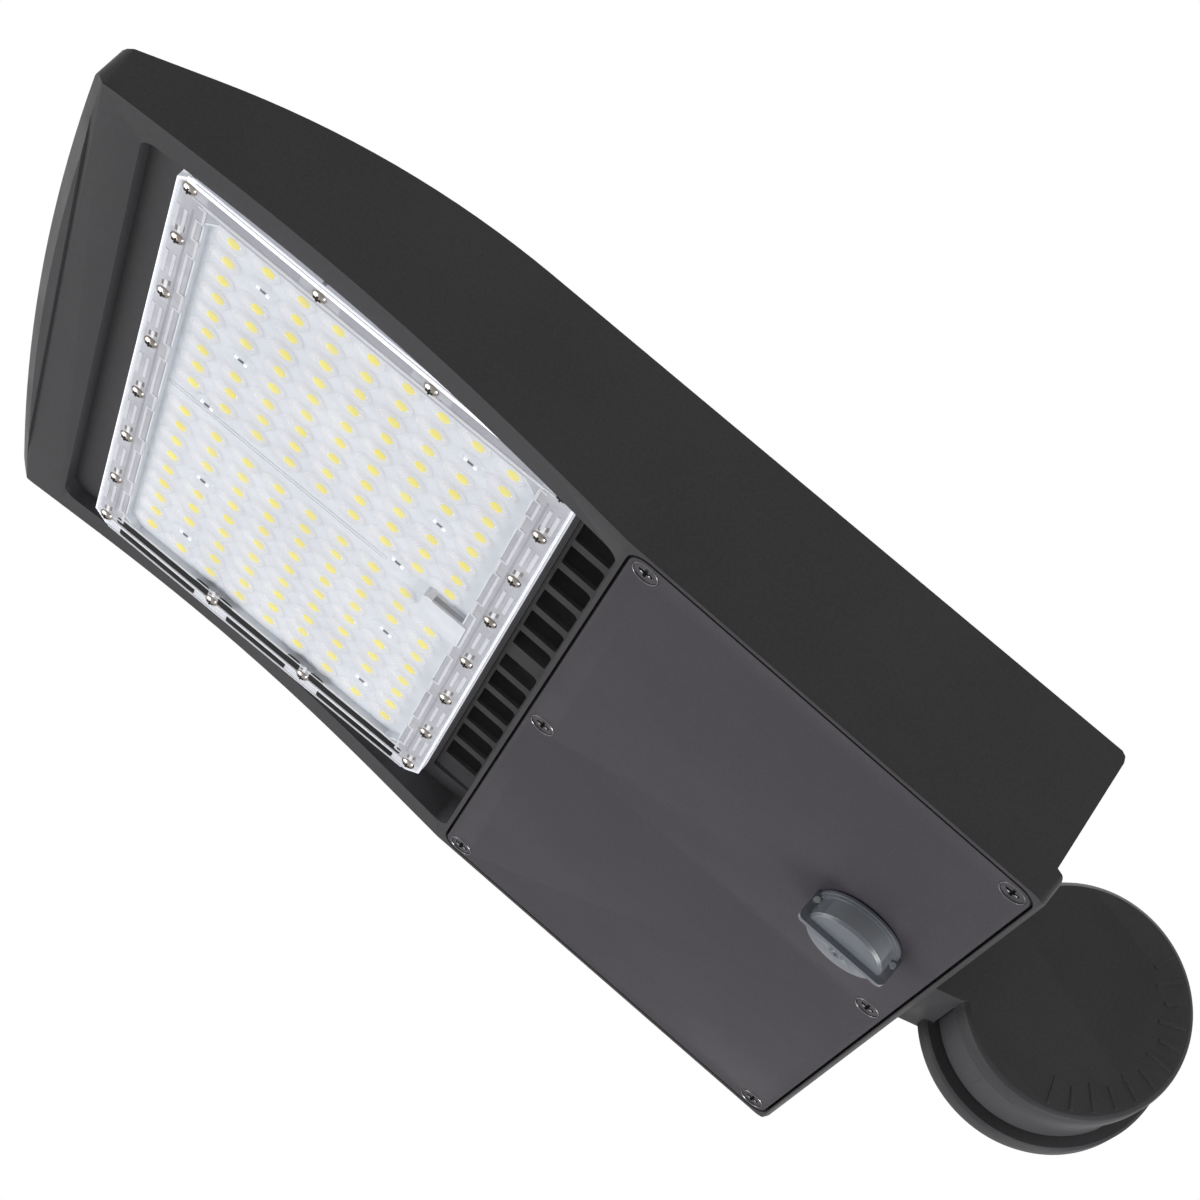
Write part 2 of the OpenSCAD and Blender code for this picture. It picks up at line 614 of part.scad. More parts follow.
// The window stays open to the neck's duct over the whole tilt
module hub_window() translate([-chamber_half, 0, 0]) along_x() linear_extrude(2 * chamber_half)
    polygon(concat([[0, 0]], [for (a = [-window_turn : window_turn / 6 : window_turn + eps])
        1.2 * hub_r * [-cos(a), sin(a)]]));

module pivot_hub() color(hub_col) pivot_axis() difference() {
    union() {
        difference() {
            rod_x(hub_r, -hub_w / 2, hub_w / 2);
            rod_x(chamber_r, -chamber_half, chamber_half);
            hub_window();
        }
        rod_x(pivot_r + 5, -chamber_half - 1, chamber_half + 1);
    }
    rod_x(pivot_r + fit, -hub_w, hub_w);
    block(-hub_w, hub_w, pad_offset, hub_r + 5, -hub_r, hub_r);
    rod_y(pad_wire_r, 20, pad_offset + 1);
    for (z = [-pad_hole_z, pad_hole_z]) translate([0, 0, z])
        rod_y(pad_hole_r, pad_offset - pad_hole_depth, pad_offset + 1);
}

module bracket_bolts() color(screw_col) for (x = [-bolt_x, bolt_x]) for (z = [-bolt_z, bolt_z])
    fixture() translate([x, block_y, duct_z + z]) rotate([-90, 0, 0])
        hex_bolt(bolt_r, 5.3, neck_foot + bolt_depth - block_y);

module pivot_bolt() color(screw_col) pivot_axis() translate([-knuckle_w / 2 - washer_t, 0, 0])
    rotate([0, 90, 0]) hex_bolt(pivot_r, 7, knuckle_w + washer_t - 3);

module pivot_washer() color(screw_col) pivot_axis() difference() {
    rod_x(pivot_r * 2, -knuckle_w / 2 - washer_t, -knuckle_w / 2);
    rod_x(pivot_r + slip, -knuckle_w / 2 - washer_t - 1, -knuckle_w / 2 + 1);
}

module friction_discs() color(dark_col) for (s = [-1, 1]) pivot_axis() difference() {
    rod_x(disc_r, s > 0 ? hub_w / 2 : -groove_w / 2, s > 0 ? groove_w / 2 : -hub_w / 2);
    rod_x(pivot_r + 6, -groove_w, groove_w);
}

module wire_grommet() color(dark_col) fixture() translate([0, 0, duct_z]) difference() {
    union() {
        rod_y(grommet_r - 0.1, block_y - 0.5, neck_foot - 0.2);
        rod_y(grommet_r + 2.2, block_y - 2, block_y);
    }
    rod_y(grommet_r - 3, block_y - 3, neck_foot + 1);
}

// LED panel
module board(x0, x1) difference() {
    block(x0, x1, -board_len / 2, board_len / 2, 0, board_t);
    for (c = rivet_cells) translate([c[0], c[1], -1]) cylinder(r = rivet_r + fit, h = board_t + 2, $fn = 24);
    translate([0, optic_mid + way_y, -1]) cylinder(r = way_r, h = board_t + 2, $fn = 32);
}
module led_board_left() color("white") led_plane() board(-board_half_w, -board_gap / 2);
module led_board_right() color("white") led_plane() board(board_gap / 2, board_half_w);

module led_chips() color([0.98, 0.90, 0.45]) led_plane() for (c = led_cells)
    translate([c[0] - led_size / 2, c[1] - led_size / 2, -led_h]) cube([led_size, led_size, led_h]);

// The plate's flange stands out over a recessed field, whose optics rise to nearly the flange's height
module lens_panel() color([0.88, 0.90, 0.94, 0.6]) led_plane() difference() {
    union() {
        translate([0, 0, lens_top]) linear_extrude(lens_t) plate_outline(lens_half_w, lens_len / 2);
        translate([0, 0, -lens_field_z]) linear_extrude(lens_field_t)
            plate_outline(field_half_w + lens_wall, field_len / 2 + lens_wall);
    }
    difference() {
        translate([0, 0, lens_top - 1]) linear_extrude(1 - lens_field_z - lens_top)
            plate_outline(field_half_w, field_len / 2);
        for (c = led_cells) translate([c[0], c[1], -lens_field_z - dome_h])
            cylinder(r1 = dome_r * 0.6, r2 = dome_r, h = dome_h + eps, $fn = 24);
        for (c = rivet_cells) translate([c[0], c[1], -lens_field_z - window_h])
            cylinder(r = window_r, h = window_h + eps, $fn = 24);
    }
    for (c = rivet_cells) translate([c[0], c[1], -lens_field_z + 1])
        cylinder(r = window_r - 1.6, h = lens_field_t, $fn = 24);
    plug_room(-lens_field_z - 1, 0);
    for (c = lens_screw_cells) translate([c[0], c[1], lens_top - 1])
        cylinder(r = lens_screw_r + slip, h = lens_t + 2, $fn = 24);
}

module lens_gasket() color([0.85, 0.85, 0.85]) led_plane() difference() {
    translate([0, 0, lens_back]) linear_extrude(floor_h - lens_back)
        plate_outline(lens_half_w - 1, lens_len / 2 - 1);
    translate([0, 0, lens_back - 1]) linear_extrude(floor_h - lens_back + 2)
        plate_outline(field_half_w + lens_wall + 0.5, field_len / 2 + lens_wall + 0.5);
    for (c = lens_screw_cells) translate([c[0], c[1], lens_back - 1])
        cylinder(r = lens_screw_r + 0.3, h = floor_h - lens_back + 2, $fn = 24);
}

module lens_screws() color(screw_col) led_plane() for (c = lens_screw_cells) translate([c[0], c[1], lens_top])
    pan_screw(lens_head_r, lens_screw_r, lens_head_h, lens_flange_h + floor_h + lens_grip);

module board_rivets() color([0.8, 0.8, 0.8]) led_plane() for (c = rivet_cells) translate([c[0], c[1], 0]) {
    translate([0, 0, -0.9]) cylinder(r = 2.6, h = 0.9, $fn = 32);
    translate([0, 0, -eps]) cylinder(r = rivet_r, h = board_t + rivet_grip + eps, $fn = 24);
}

module plug_room(z0, z1) block(plug[0] + plug_wall, plug[1] - plug_wall, plug[2] + plug_wall,
    plug_seat - plug_wall, z0, z1);

module board_connector() color("white") led_plane()
    block(plug[0] + 3, plug[1] - 3, plug[2] + 3.5, board_len / 2 - 0.5, plug_top + plug_wall + 0.3, 0);

module connector_cover() color([0.85, 0.86, 0.88]) led_plane() difference() {
    union() {
        block(plug[0], plug[1], plug[2], plug_seat, plug_top, -lens_field_z);
        block(plug[0], plug[1], plug_seat - 1, plug[3], plug_top, lens_top);
    }
    plug_room(plug_top + plug_wall, 0);
}

// Door
module driver_door() color(door_col) fixture() difference() {
    linear_extrude(door_t) polygon(round_rect(-door_half_w, door_half_w, -door_front, -door_rear, door_r));
    for (c = door_screw_cells) translate([c[0], c[1], 0]) {
        translate([0, 0, -1]) cylinder(r = door_screw_r + 0.4, h = door_t + 2, $fn = 24);
        translate([0, 0, -eps])
            cylinder(r1 = door_head_r + 0.5, r2 = door_screw_r + 0.4, h = door_t - 0.2, $fn = 32);
    }
    translate([port[0], port[1], -1]) cylinder(r = socket_r + socket_wall + fit, h = door_t + 2, $fn = 64);
}

module door_gasket() color(dark_col) fixture() difference() {
    translate([0, 0, door_t]) linear_extrude(door_gasket_t) polygon(round_rect(-door_half_w + gasket_in,
        door_half_w - gasket_in, -door_front + gasket_in, -door_rear - gasket_in, door_r - gasket_in));
    translate([0, 0, door_t - 1]) linear_extrude(door_gasket_t + 2) polygon(round_rect(
        -door_half_w + gasket_in + door_gasket_w, door_half_w - gasket_in - door_gasket_w,
        -door_front + gasket_in + door_gasket_w, -door_rear - gasket_in - door_gasket_w,
        door_r - gasket_in - door_gasket_w));
}

module door_screws() color([0.25, 0.25, 0.26]) fixture() for (c = door_screw_cells)
    translate([c[0], c[1], 0.3]) difference() {
        union() {
            cylinder(r1 = door_head_r, r2 = door_screw_r, h = door_t - 0.5, $fn = 32);
            translate([0, 0, 1]) cylinder(r = door_screw_r, h = screw_tip - 1.3, $fn = 24);
        }
        cross_recess(door_head_r * 0.55, 1.4);
    }

// Driver compartment
module led_driver() color([0.75, 0.76, 0.78]) fixture() translate([driver_x, driver_y, 0]) difference() {
    union() {
        block(0, driver_len, 0, driver_w, driver_z, ceiling_z);
        block(-lug_len, driver_len + lug_len, 0, driver_w, ceiling_z - lug_t, ceiling_z);
    }
    for (x = [-lug_len / 2, driver_len + lug_len / 2]) for (y = lug_ys)
        translate([x, y, ceiling_z - lug_t - 1]) cylinder(r = case_screw_r + slip, h = lug_t + 2, $fn = 24);
}

module driver_screws() color(screw_col) for (x = [-lug_len / 2, driver_len + lug_len / 2])
    for (y = lug_ys) fixture() translate([driver_x + x, driver_y + y, ceiling_z - lug_t])
        pan_screw(2 * case_screw_r, case_screw_r, 2.4, lug_t + case_grip);

module terminal_block() color([0.9, 0.9, 0.86]) fixture() translate(term_at) difference() {
    cube(term);
    for (i = [0 : 2]) translate([term[0] * (i + 0.5) / 3, term[1] / 2, -1])
        cylinder(r = term_screw_r + slip, h = term_hole + 1, $fn = 32);
}

module terminal_screws() color(screw_col) fixture() for (i = [0 : 2])
    translate(term_at + [term[0] * (i + 0.5) / 3, term[1] / 2, 2]) difference() {
        cylinder(r = term_screw_r, h = 4, $fn = 32);
        cross_recess(0.65 * term_screw_r, 1.2);
    }

module surge_protector() color([0.15, 0.15, 0.4]) fixture() translate(surge_at) cube(surge);

module ground_screw() color([0.2, 0.5, 0.25]) fixture() translate([ground_at[0], ground_at[1], ceiling_z])
    pan_screw(2.5 * case_screw_r, case_screw_r, 3, case_grip);

module bulkhead_grommet() color(dark_col) fixture() translate([0, 0, way_z]) difference() {
    union() {
        rod_y(way_r - 0.1, -room_front - 6, -room_front + 0.5);
        rod_y(way_r + 1.6, -room_front, -room_front + 1.6);
    }
    rod_y(way_r - 1.4, -room_front - 7, -room_front + 3);
}

out_x = driver_x + driver_len;
led_route = [[out_x, -112, 30], [out_x + 9, -114, 28], [out_x + 16, -126, 20], [out_x + 12, -146, 13],
    [out_x - 10, -163, 12], [30, -167, 17], [8, -166, 24], [0, -171, 26], [0, -185, 26], [0, -205, 26],
    [-0.5, -221, 25],
    [-1, -226, 20], [-1, -226, 11.4]];
module led_leads() color([0.7, 0.1, 0.1]) fixture() for (s = [-1, 1])
    lead(beside(led_route, s * lead_gap / 2, 90, 0, 0.58));

sensor_route = [[port_x, -port_y, socket_h], [54, -36, 34], [58, -46, 40], [68, -66, 40],
    [out_x + 10, -86, 36], [out_x + 12, -98, 32], [out_x, -103, 30]];
module sensor_leads() color([0.2, 0.2, 0.6]) fixture() for (i = [-1, 0, 1])
    lead(beside(sensor_route, i * lead_gap, 0, 90, 0.3));

main_route = [term_at + [0, 4, 7], [-50, -64, 42], [-72, -76, 40], [driver_x - 6, -84, 38],
    [driver_x - 12, -98, 36], [driver_x, -106, 34]];
surge_port = [surge_at[0] + surge[0], surge_at[1] + surge[1] / 2, surge_at[2] + 11];
surge_tap = term_at + [0, 12, 7];
surge_route = [for (t = [0, 0.35, 0.65, 1]) surge_tap + (surge_port - surge_tap) * t];
ground_route = [[10, -56, 46], [17, -57, 46], [25, -60, 51]];
module input_leads() color([0.1, 0.1, 0.1]) fixture() {
    for (z = [-0.5, 0.5]) lead([for (p = main_route) p + [0, 0, z * lead_gap]]);
    for (z = [-0.5, 0.5]) lead([for (p = surge_route) p + [0, 0, z * lead_gap]]);
    lead(ground_route);
}

// Sensor port
module sensor_socket() color([0.3, 0.3, 0.31]) fixture() translate([port[0], port[1], 0]) difference() {
    cylinder(r = socket_r + socket_wall, h = socket_h, $fn = 64);
    translate([0, 0, -1]) cylinder(r = socket_r, h = 12, $fn = 64);
    translate([0, 0, 4]) cylinder(r = lug_r + 0.4, h = 4.2, $fn = 64);
    for (a = [0, 120, 240]) rotate([0, 0, a - cap_turn]) translate([0, -3.6, -1])
        cube([lug_r + 0.4, 7.2, 6]);
}

module socket_nut() color(screw_col) fixture() translate([port[0], port[1], door_t]) difference() {
    cylinder(r = 18, h = 4, $fn = 6);
    translate([0, 0, -1]) cylinder(r = socket_r + socket_wall + fit, h = 6, $fn = 64);
}

cap_top = -seal_t;
mid_step = (flange_h - seal_t) / 2;
boss_low = bar_h - 0.9;
bar_corner = 2.5;
cap_boss_x = -bar_t / 2 - 2.75;
dot_z = -flange_h - 1.5;
module sensor_cap() color([0.43, 0.45, 0.48]) fixture() translate([port[0], port[1], 0]) difference() {
    union() {
        translate([0, 0, -cap_h]) cylinder(r1 = cap_r - 0.8, r2 = cap_r, h = 1.2, $fn = 96);
        translate([0, 0, -cap_h + 1.2 - eps]) cylinder(r = cap_r, h = cap_h - 1.2 + cap_top + eps, $fn = 96);
        translate([0, 0, -flange_h]) cylinder(r = flange_r - 0.9, h = mid_step + eps, $fn = 96);
        translate([0, 0, cap_top - mid_step]) cylinder(r = flange_r, h = mid_step, $fn = 96);
        difference() {
            translate([-bar_t / 2, 0, 0]) rotate([90, 0, 90]) linear_extrude(bar_t)
                polygon(round_rect(-bar_len / 2, bar_len / 2, -bar_h, cap_top + 2 * bar_corner, bar_corner));
            block(-bar_t, bar_t, -bar_len, bar_len, cap_top, cap_top + 3 * bar_corner);
        }
        translate([cap_boss_x, 0, -boss_low]) cylinder(r = 3.5, h = boss_low - cap_h + 1, $fn = 32);
        translate([0, 0, cap_top - eps]) cylinder(r = socket_r - slip, h = -cap_top + 8, $fn = 64);
        for (a = [0, 120, 240]) rotate([0, 0, a]) translate([0, -3, 4.4]) cube([lug_r, 6, 3.4]);
    }
    translate([cap_boss_x, 0, -bar_h]) cylinder(r = 1.25 + fit, h = 6, $fn = 24);
    for (s = [-1, 1]) translate([bar_t / 2, s * (bar_len / 2 - 2), dot_z]) rod_x(0.7 + slip, -2, 1);
}

module cap_seal() color(dark_col) fixture() translate([port[0], port[1], -seal_t]) difference() {
    cylinder(r = flange_r - 1.4, h = seal_t, $fn = 96);
    translate([0, 0, -1]) cylinder(r = flange_r - 3.8, h = 3, $fn = 96);
}

module cap_screws() color(screw_col) fixture() for (s = [-1, 1])
    translate([port[0] + bar_t / 2, port[1] + s * (bar_len / 2 - 2), dot_z]) {
        rod_x(1.3, 0, 0.8);
        rod_x(0.7, -1.8, 0.4);
    }

module cap_boss_screw() color(screw_col) fixture() translate([port[0] + cap_boss_x, port[1], -boss_low])
    pan_screw(2.2, 1.25, 0.7, 4.5);

pivot_hub();
housing();
tilt_bracket();
bracket_bolts();
pivot_bolt();
pivot_washer();
friction_discs();
wire_grommet();
led_board_left();
led_board_right();
led_chips();
lens_panel();
lens_gasket();
lens_screws();
board_rivets();
board_connector();
connector_cover();
driver_door();
door_gasket();
door_screws();
led_driver();
driver_screws();
terminal_block();
terminal_screws();
surge_protector();
ground_screw();
bulkhead_grommet();
led_leads();
sensor_leads();
input_leads();
sensor_socket();
socket_nut();
sensor_cap();
cap_seal();
cap_screws();
cap_boss_screw();
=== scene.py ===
import json
import math
import bmesh
import bpy
import numpy as np
from mathutils import Matrix, Vector

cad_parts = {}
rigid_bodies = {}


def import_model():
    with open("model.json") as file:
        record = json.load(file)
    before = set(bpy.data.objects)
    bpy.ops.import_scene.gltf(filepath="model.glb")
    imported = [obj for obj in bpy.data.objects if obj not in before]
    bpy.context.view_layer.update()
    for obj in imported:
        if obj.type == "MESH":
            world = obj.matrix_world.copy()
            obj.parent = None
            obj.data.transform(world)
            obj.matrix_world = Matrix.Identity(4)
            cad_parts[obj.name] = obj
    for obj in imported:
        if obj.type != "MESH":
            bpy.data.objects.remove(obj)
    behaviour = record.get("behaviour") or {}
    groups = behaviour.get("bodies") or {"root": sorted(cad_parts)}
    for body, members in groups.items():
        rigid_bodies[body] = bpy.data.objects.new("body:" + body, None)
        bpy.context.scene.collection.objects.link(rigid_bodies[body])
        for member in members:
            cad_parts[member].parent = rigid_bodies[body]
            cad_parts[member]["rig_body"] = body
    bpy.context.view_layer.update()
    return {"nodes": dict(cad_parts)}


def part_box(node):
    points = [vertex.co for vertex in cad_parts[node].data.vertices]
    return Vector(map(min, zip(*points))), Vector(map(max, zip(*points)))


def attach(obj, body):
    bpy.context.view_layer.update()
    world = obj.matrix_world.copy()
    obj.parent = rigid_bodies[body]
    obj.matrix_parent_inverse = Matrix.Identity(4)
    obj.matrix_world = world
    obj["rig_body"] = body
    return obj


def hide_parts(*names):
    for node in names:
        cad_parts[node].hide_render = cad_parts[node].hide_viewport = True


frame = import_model()
scene = bpy.context.scene
print("frame loaded")

# Fixture measures in millimetres, as in the part's source, from the rear skirt at door height
fixture = {"padY": 87.5, "pivotZ": 50.2, "opticMid": 290.6, "boardZ": 9.5, "opticTilt": 1.59}


def toRow(points):  # fixture millimetres to metres in the row frame
    return (np.asarray(points, float) - (0, fixture["padY"], fixture["pivotZ"])) / 1000


def toPanel(points):  # LED plane millimetres, turned by its tilt, to metres in the row frame
    p = np.asarray(points, float).reshape(-1, 3)
    c, s = math.cos(math.radians(fixture["opticTilt"])), math.sin(math.radians(fixture["opticTilt"]))
    y = p[:, 1] * c - p[:, 2] * s - fixture["opticMid"]
    z = p[:, 1] * s + p[:, 2] * c + fixture["boardZ"]
    return toRow(np.stack([p[:, 0], y, z], -1))


# Camera: solved from the outline, the LED grid and the round faces
cameraSetup = {"at": (1.122318, -0.196020, -0.522819), "right": (0.27328933, 0.75442933, 0.59678249),
               "up": (0.3114144, -0.6563784, 0.68715971), "lens": 97.652, "shift": (-0.11241, 0.14122)}


def addCamera(s):
    data = bpy.data.cameras.new("productCamera")
    data.lens, data.sensor_width = s["lens"], 36
    data.shift_x, data.shift_y = s["shift"]
    data.clip_end = 30
    right, up = Vector(s["right"]).normalized(), Vector(s["up"])
    up = (up - right * up.dot(right)).normalized()
    back = right.cross(up)
    cam = bpy.data.objects.new("productCamera", data)
    cam.matrix_world = Matrix.Translation(s["at"]) @ Matrix((right, up, back)).transposed().to_4x4()
    scene.collection.objects.link(cam)
    scene.camera = cam


addCamera(cameraSetup)
print("camera placed")


def newMaterial(name):
    m = bpy.data.materials.new(name)
    m.use_nodes = True
    tree = m.node_tree
    return m, tree.nodes, tree.links, tree.nodes["Principled BSDF"]


def noiseOn(nodes, links, scale, detail=3.0, rough=0.55, stretch=None):
    place = nodes.new("ShaderNodeTexCoord")
    out = place.outputs["Object"]
    if stretch:
        turn = nodes.new("ShaderNodeMapping")
        turn.inputs["Scale"].default_value = stretch
        links.new(out, turn.inputs["Vector"])
        out = turn.outputs["Vector"]
    n = nodes.new("ShaderNodeTexNoise")
    n.inputs["Scale"].default_value = scale
    n.inputs["Detail"].default_value = detail
    n.inputs["Roughness"].default_value = rough
    links.new(out, n.inputs["Vector"])
    return n.outputs["Fac"]


def spread(nodes, links, value, low, high, outLow=0.0, outHigh=1.0):
    r = nodes.new("ShaderNodeMapRange")
    r.inputs["From Min"].default_value, r.inputs["From Max"].default_value = low, high
    r.inputs["To Min"].default_value, r.inputs["To Max"].default_value = outLow, outHigh
    links.new(value, r.inputs["Value"])
    return r.outputs["Result"]


def mixColours(nodes, links, value, a, b):
    m = nodes.new("ShaderNodeMix")
    m.data_type = "RGBA"
    links.new(value, m.inputs["Factor"])
    for socket, c in ((m.inputs["A"], a), (m.inputs["B"], b)):
        if isinstance(c, tuple):
            socket.default_value = (*c, 1)
        else:
            links.new(c, socket)
    return m.outputs["Result"]


def bumpOn(nodes, links, bsdf, height, strength, distance):
    b = nodes.new("ShaderNodeBump")
    b.inputs["Strength"].default_value = strength
    b.inputs["Distance"].default_value = distance
    links.new(height, b.inputs["Height"])
    links.new(b.outputs["Normal"], bsdf.inputs["Normal"])


# Coat: two close tones in wide clouds, a fine powder grain in the bump, roughness that drifts a little
def powderCoat(name, tone, tone2, rough=0.5, grain=1500, bump=0.22, shine=0.2):
    m, nodes, links, bsdf = newMaterial(name)
    cloud = spread(nodes, links, noiseOn(nodes, links, 7, 4), 0.3, 0.7)
    speck = spread(nodes, links, noiseOn(nodes, links, grain * 0.6, 2), 0.35, 0.75, 0, 0.3)
    base = mixColours(nodes, links, cloud, tone, tone2)
    light = tuple(min(1, c * 1.45 + 0.003) for c in tone2)
    links.new(mixColours(nodes, links, speck, base, light), bsdf.inputs["Base Color"])
    links.new(spread(nodes, links, noiseOn(nodes, links, 25, 3), 0.3, 0.7, rough - 0.05, rough + 0.07),
              bsdf.inputs["Roughness"])
    bsdf.inputs["Specular IOR Level"].default_value = shine
    bumpOn(nodes, links, bsdf, noiseOn(nodes, links, grain, 2), bump, 0.00018)
    return m


# Metal: a tone drift and fine scratches drawn out along one direction
def plainMetal(name, tone, tone2, rough=0.28, stretch=(1, 1, 14), scale=320):
    m, nodes, links, bsdf = newMaterial(name)
    bsdf.inputs["Metallic"].default_value = 1.0
    drift = spread(nodes, links, noiseOn(nodes, links, 60, 3), 0.3, 0.7)
    links.new(mixColours(nodes, links, drift, tone, tone2), bsdf.inputs["Base Color"])
    scratch = noiseOn(nodes, links, scale, 4, 0.6, stretch)
    links.new(spread(nodes, links, scratch, 0.3, 0.7, rough - 0.07, rough + 0.12), bsdf.inputs["Roughness"])
    bumpOn(nodes, links, bsdf, scratch, 0.12, 0.0001)
    return m


# Plastic or rubber: soft tone clouds over a fine moulded grain
def mouldedPlastic(name, tone, tone2, rough=0.45, grain=900, bump=0.1, shine=0.5):
    m, nodes, links, bsdf = newMaterial(name)
    cloud = spread(nodes, links, noiseOn(nodes, links, 40, 3), 0.3, 0.7)
    links.new(mixColours(nodes, links, cloud, tone, tone2), bsdf.inputs["Base Color"])
    links.new(spread(nodes, links, noiseOn(nodes, links, 90, 3), 0.3, 0.7, rough - 0.05, rough + 0.06),
              bsdf.inputs["Roughness"])
    bsdf.inputs["Specular IOR Level"].default_value = shine
    bumpOn(nodes, links, bsdf, noiseOn(nodes, links, grain, 2), bump, 0.00012)
    return m


# Clear moulding: see-through by a share that drifts with the flow marks of the moulding
def clearMoulding(name, tone, tone2, clear, rough, grain=220, bump=0.15):
    m, nodes, links, bsdf = newMaterial(name)
    flow = spread(nodes, links, noiseOn(nodes, links, 30, 4), 0.3, 0.7)
    links.new(mixColours(nodes, links, flow, tone, tone2), bsdf.inputs["Base Color"])
    marks = noiseOn(nodes, links, 70, 4)
    links.new(spread(nodes, links, marks, 0.3, 0.7, 1 - clear - 0.06, 1 - clear + 0.06), bsdf.inputs["Alpha"])
    bsdf.inputs["Roughness"].default_value = rough
    bsdf.inputs["Specular IOR Level"].default_value = 0.6
    bumpOn(nodes, links, bsdf, noiseOn(nodes, links, grain, 3), bump, 0.0003)
    return m


coat = powderCoat("housingCoat", (0.036, 0.035, 0.037), (0.044, 0.042, 0.045))
doorCoat = powderCoat("doorCoat", (0.043, 0.039, 0.046), (0.051, 0.046, 0.054))
# The hub's coat is a lighter copy of the housing's coat: painted light, for the light falling on the drum
# between the cheeks
litHubCoat = powderCoat("litHubCoat", (0.046, 0.045, 0.048), (0.058, 0.056, 0.060), rough=0.42)
nickel = plainMetal("nickelScrew", (0.40, 0.36, 0.32), (0.62, 0.58, 0.54), 0.14)
rimHighlightMetal = plainMetal("rimHighlightMetal", (0.30, 0.29, 0.31), (0.40, 0.39, 0.41), 0.26)
zinc = plainMetal("zincPlated", (0.55, 0.56, 0.58), (0.68, 0.68, 0.69), 0.33)
darkScrew = plainMetal("darkScrew", (0.13, 0.125, 0.135), (0.19, 0.18, 0.19), 0.3)
rivetMetal = plainMetal("rivetMetal", (0.62, 0.62, 0.64), (0.80, 0.80, 0.82), 0.18)
caseMetal = plainMetal("driverCase", (0.60, 0.61, 0.63), (0.72, 0.73, 0.74), 0.4, (14, 1, 1))
capPlastic = mouldedPlastic("capPlastic", (0.118, 0.130, 0.148), (0.138, 0.150, 0.168), 0.3, 900, 0.08, 0.7)
socketPlastic = mouldedPlastic("socketPlastic", (0.03, 0.03, 0.032), (0.045, 0.045, 0.048), 0.5)
blackRubber = mouldedPlastic("blackRubber", (0.018, 0.018, 0.018), (0.03, 0.03, 0.03), 0.7, 600, 0.2)
boardMask = mouldedPlastic("boardMask", (0.78, 0.79, 0.82), (0.84, 0.85, 0.87), 0.3, 300, 0.04)
chipWhite = mouldedPlastic("chipPackage", (0.86, 0.86, 0.84), (0.92, 0.92, 0.90), 0.35, 2500, 0.05)
phosphor = mouldedPlastic("phosphor", (0.93, 0.79, 0.07), (0.97, 0.86, 0.15), 0.4, 2500, 0.05, 0.2)
nylonWhite = mouldedPlastic("nylonWhite", (0.80, 0.80, 0.77), (0.88, 0.88, 0.85), 0.4)
silicone = mouldedPlastic("siliconeGasket", (0.60, 0.60, 0.64), (0.68, 0.68, 0.72), 0.5)
surgeBlue = mouldedPlastic("surgeCase", (0.03, 0.03, 0.11), (0.045, 0.045, 0.15), 0.4)
leadRed = mouldedPlastic("leadRed", (0.42, 0.02, 0.02), (0.52, 0.04, 0.03), 0.45)
leadBlue = mouldedPlastic("leadBlue", (0.03, 0.05, 0.35), (0.05, 0.08, 0.45), 0.45)
leadBlack = mouldedPlastic("leadBlack", (0.02, 0.02, 0.02), (0.035, 0.035, 0.035), 0.45)
groundGreen = plainMetal("groundGreen", (0.05, 0.28, 0.08), (0.08, 0.36, 0.12), 0.4)
fieldClear = clearMoulding("frostedField", (0.76, 0.79, 0.85), (0.82, 0.85, 0.90), 0.2, 0.35)
flangeClear = clearMoulding("clearFlange", (0.66, 0.67, 0.72), (0.74, 0.75, 0.80), 0.45, 0.12)
opticClear = clearMoulding("clearOptic", (0.72, 0.74, 0.80), (0.82, 0.84, 0.88), 0.76, 0.06, 120, 0.06)
windowClear = clearMoulding("clearWindow", (0.88, 0.90, 0.94), (0.93, 0.94, 0.97), 0.86, 0.05, 120, 0.05)
ribClear = clearMoulding("clearRib", (0.86, 0.87, 0.91), (0.92, 0.93, 0.96), 0.15, 0.14)
ribSoft = clearMoulding("softRib", (0.76, 0.77, 0.82), (0.82, 0.83, 0.88), 0.3, 0.2)
lavender = clearMoulding("opticShade", (0.50, 0.51, 0.57), (0.58, 0.59, 0.65), 0.5, 0.3)
shankShadeTone = clearMoulding("shankShadeTone", (0.20, 0.17, 0.17), (0.30, 0.26, 0.25), 0.3, 0.2)
shadeClear = clearMoulding("clearShade", (0.40, 0.40, 0.45), (0.47, 0.47, 0.52), 0.3, 0.15)
# Glowing material, though no lamp: painted light, used for the lens skirt, the outer band along the right
# edge and the rivet flecks
edgeGlow = mouldedPlastic("litEdge", (0.86, 0.87, 0.90), (0.92, 0.93, 0.95), 0.4, 300, 0.05)
edgeShader = edgeGlow.node_tree.nodes["Principled BSDF"]
edgeShader.inputs["Emission Color"].default_value = (0.9, 0.92, 1.0, 1)
edgeShader.inputs["Emission Strength"].default_value = 0.45
# Near-black pads of painted shade, for the side channels of the lens and the cross recesses of its screws
paintedShade = mouldedPlastic("paintedShade", (0.008, 0.008, 0.009), (0.013, 0.013, 0.014), 0.5, 900, 0.05,
                             0.15)
print("materials made")


def joined(parts):  # one list of points and faces out of several
    points, faces, start = [], [], 0
    for p, f in parts:
        points.append(p)
        faces += [tuple(i + start for i in q) for q in f]
        start += len(p)
    return np.concatenate(points), faces


def meshPiece(name, part, material, body, smooth=True):
    points, faces = part
    mesh = bpy.data.meshes.new(name)
    mesh.from_pydata(points.tolist(), [], faces)
    bm = bmesh.new()
    bm.from_mesh(mesh)
    bmesh.ops.recalc_face_normals(bm, faces=bm.faces)
    bm.to_mesh(mesh)
    bm.free()
    mesh.materials.append(material)
    mesh.shade_smooth()
    mesh.set_sharp_from_angle(angle=math.radians(50 if smooth else 20))
    piece = bpy.data.objects.new(name, mesh)
    scene.collection.objects.link(piece)
    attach(piece, body)
    return piece


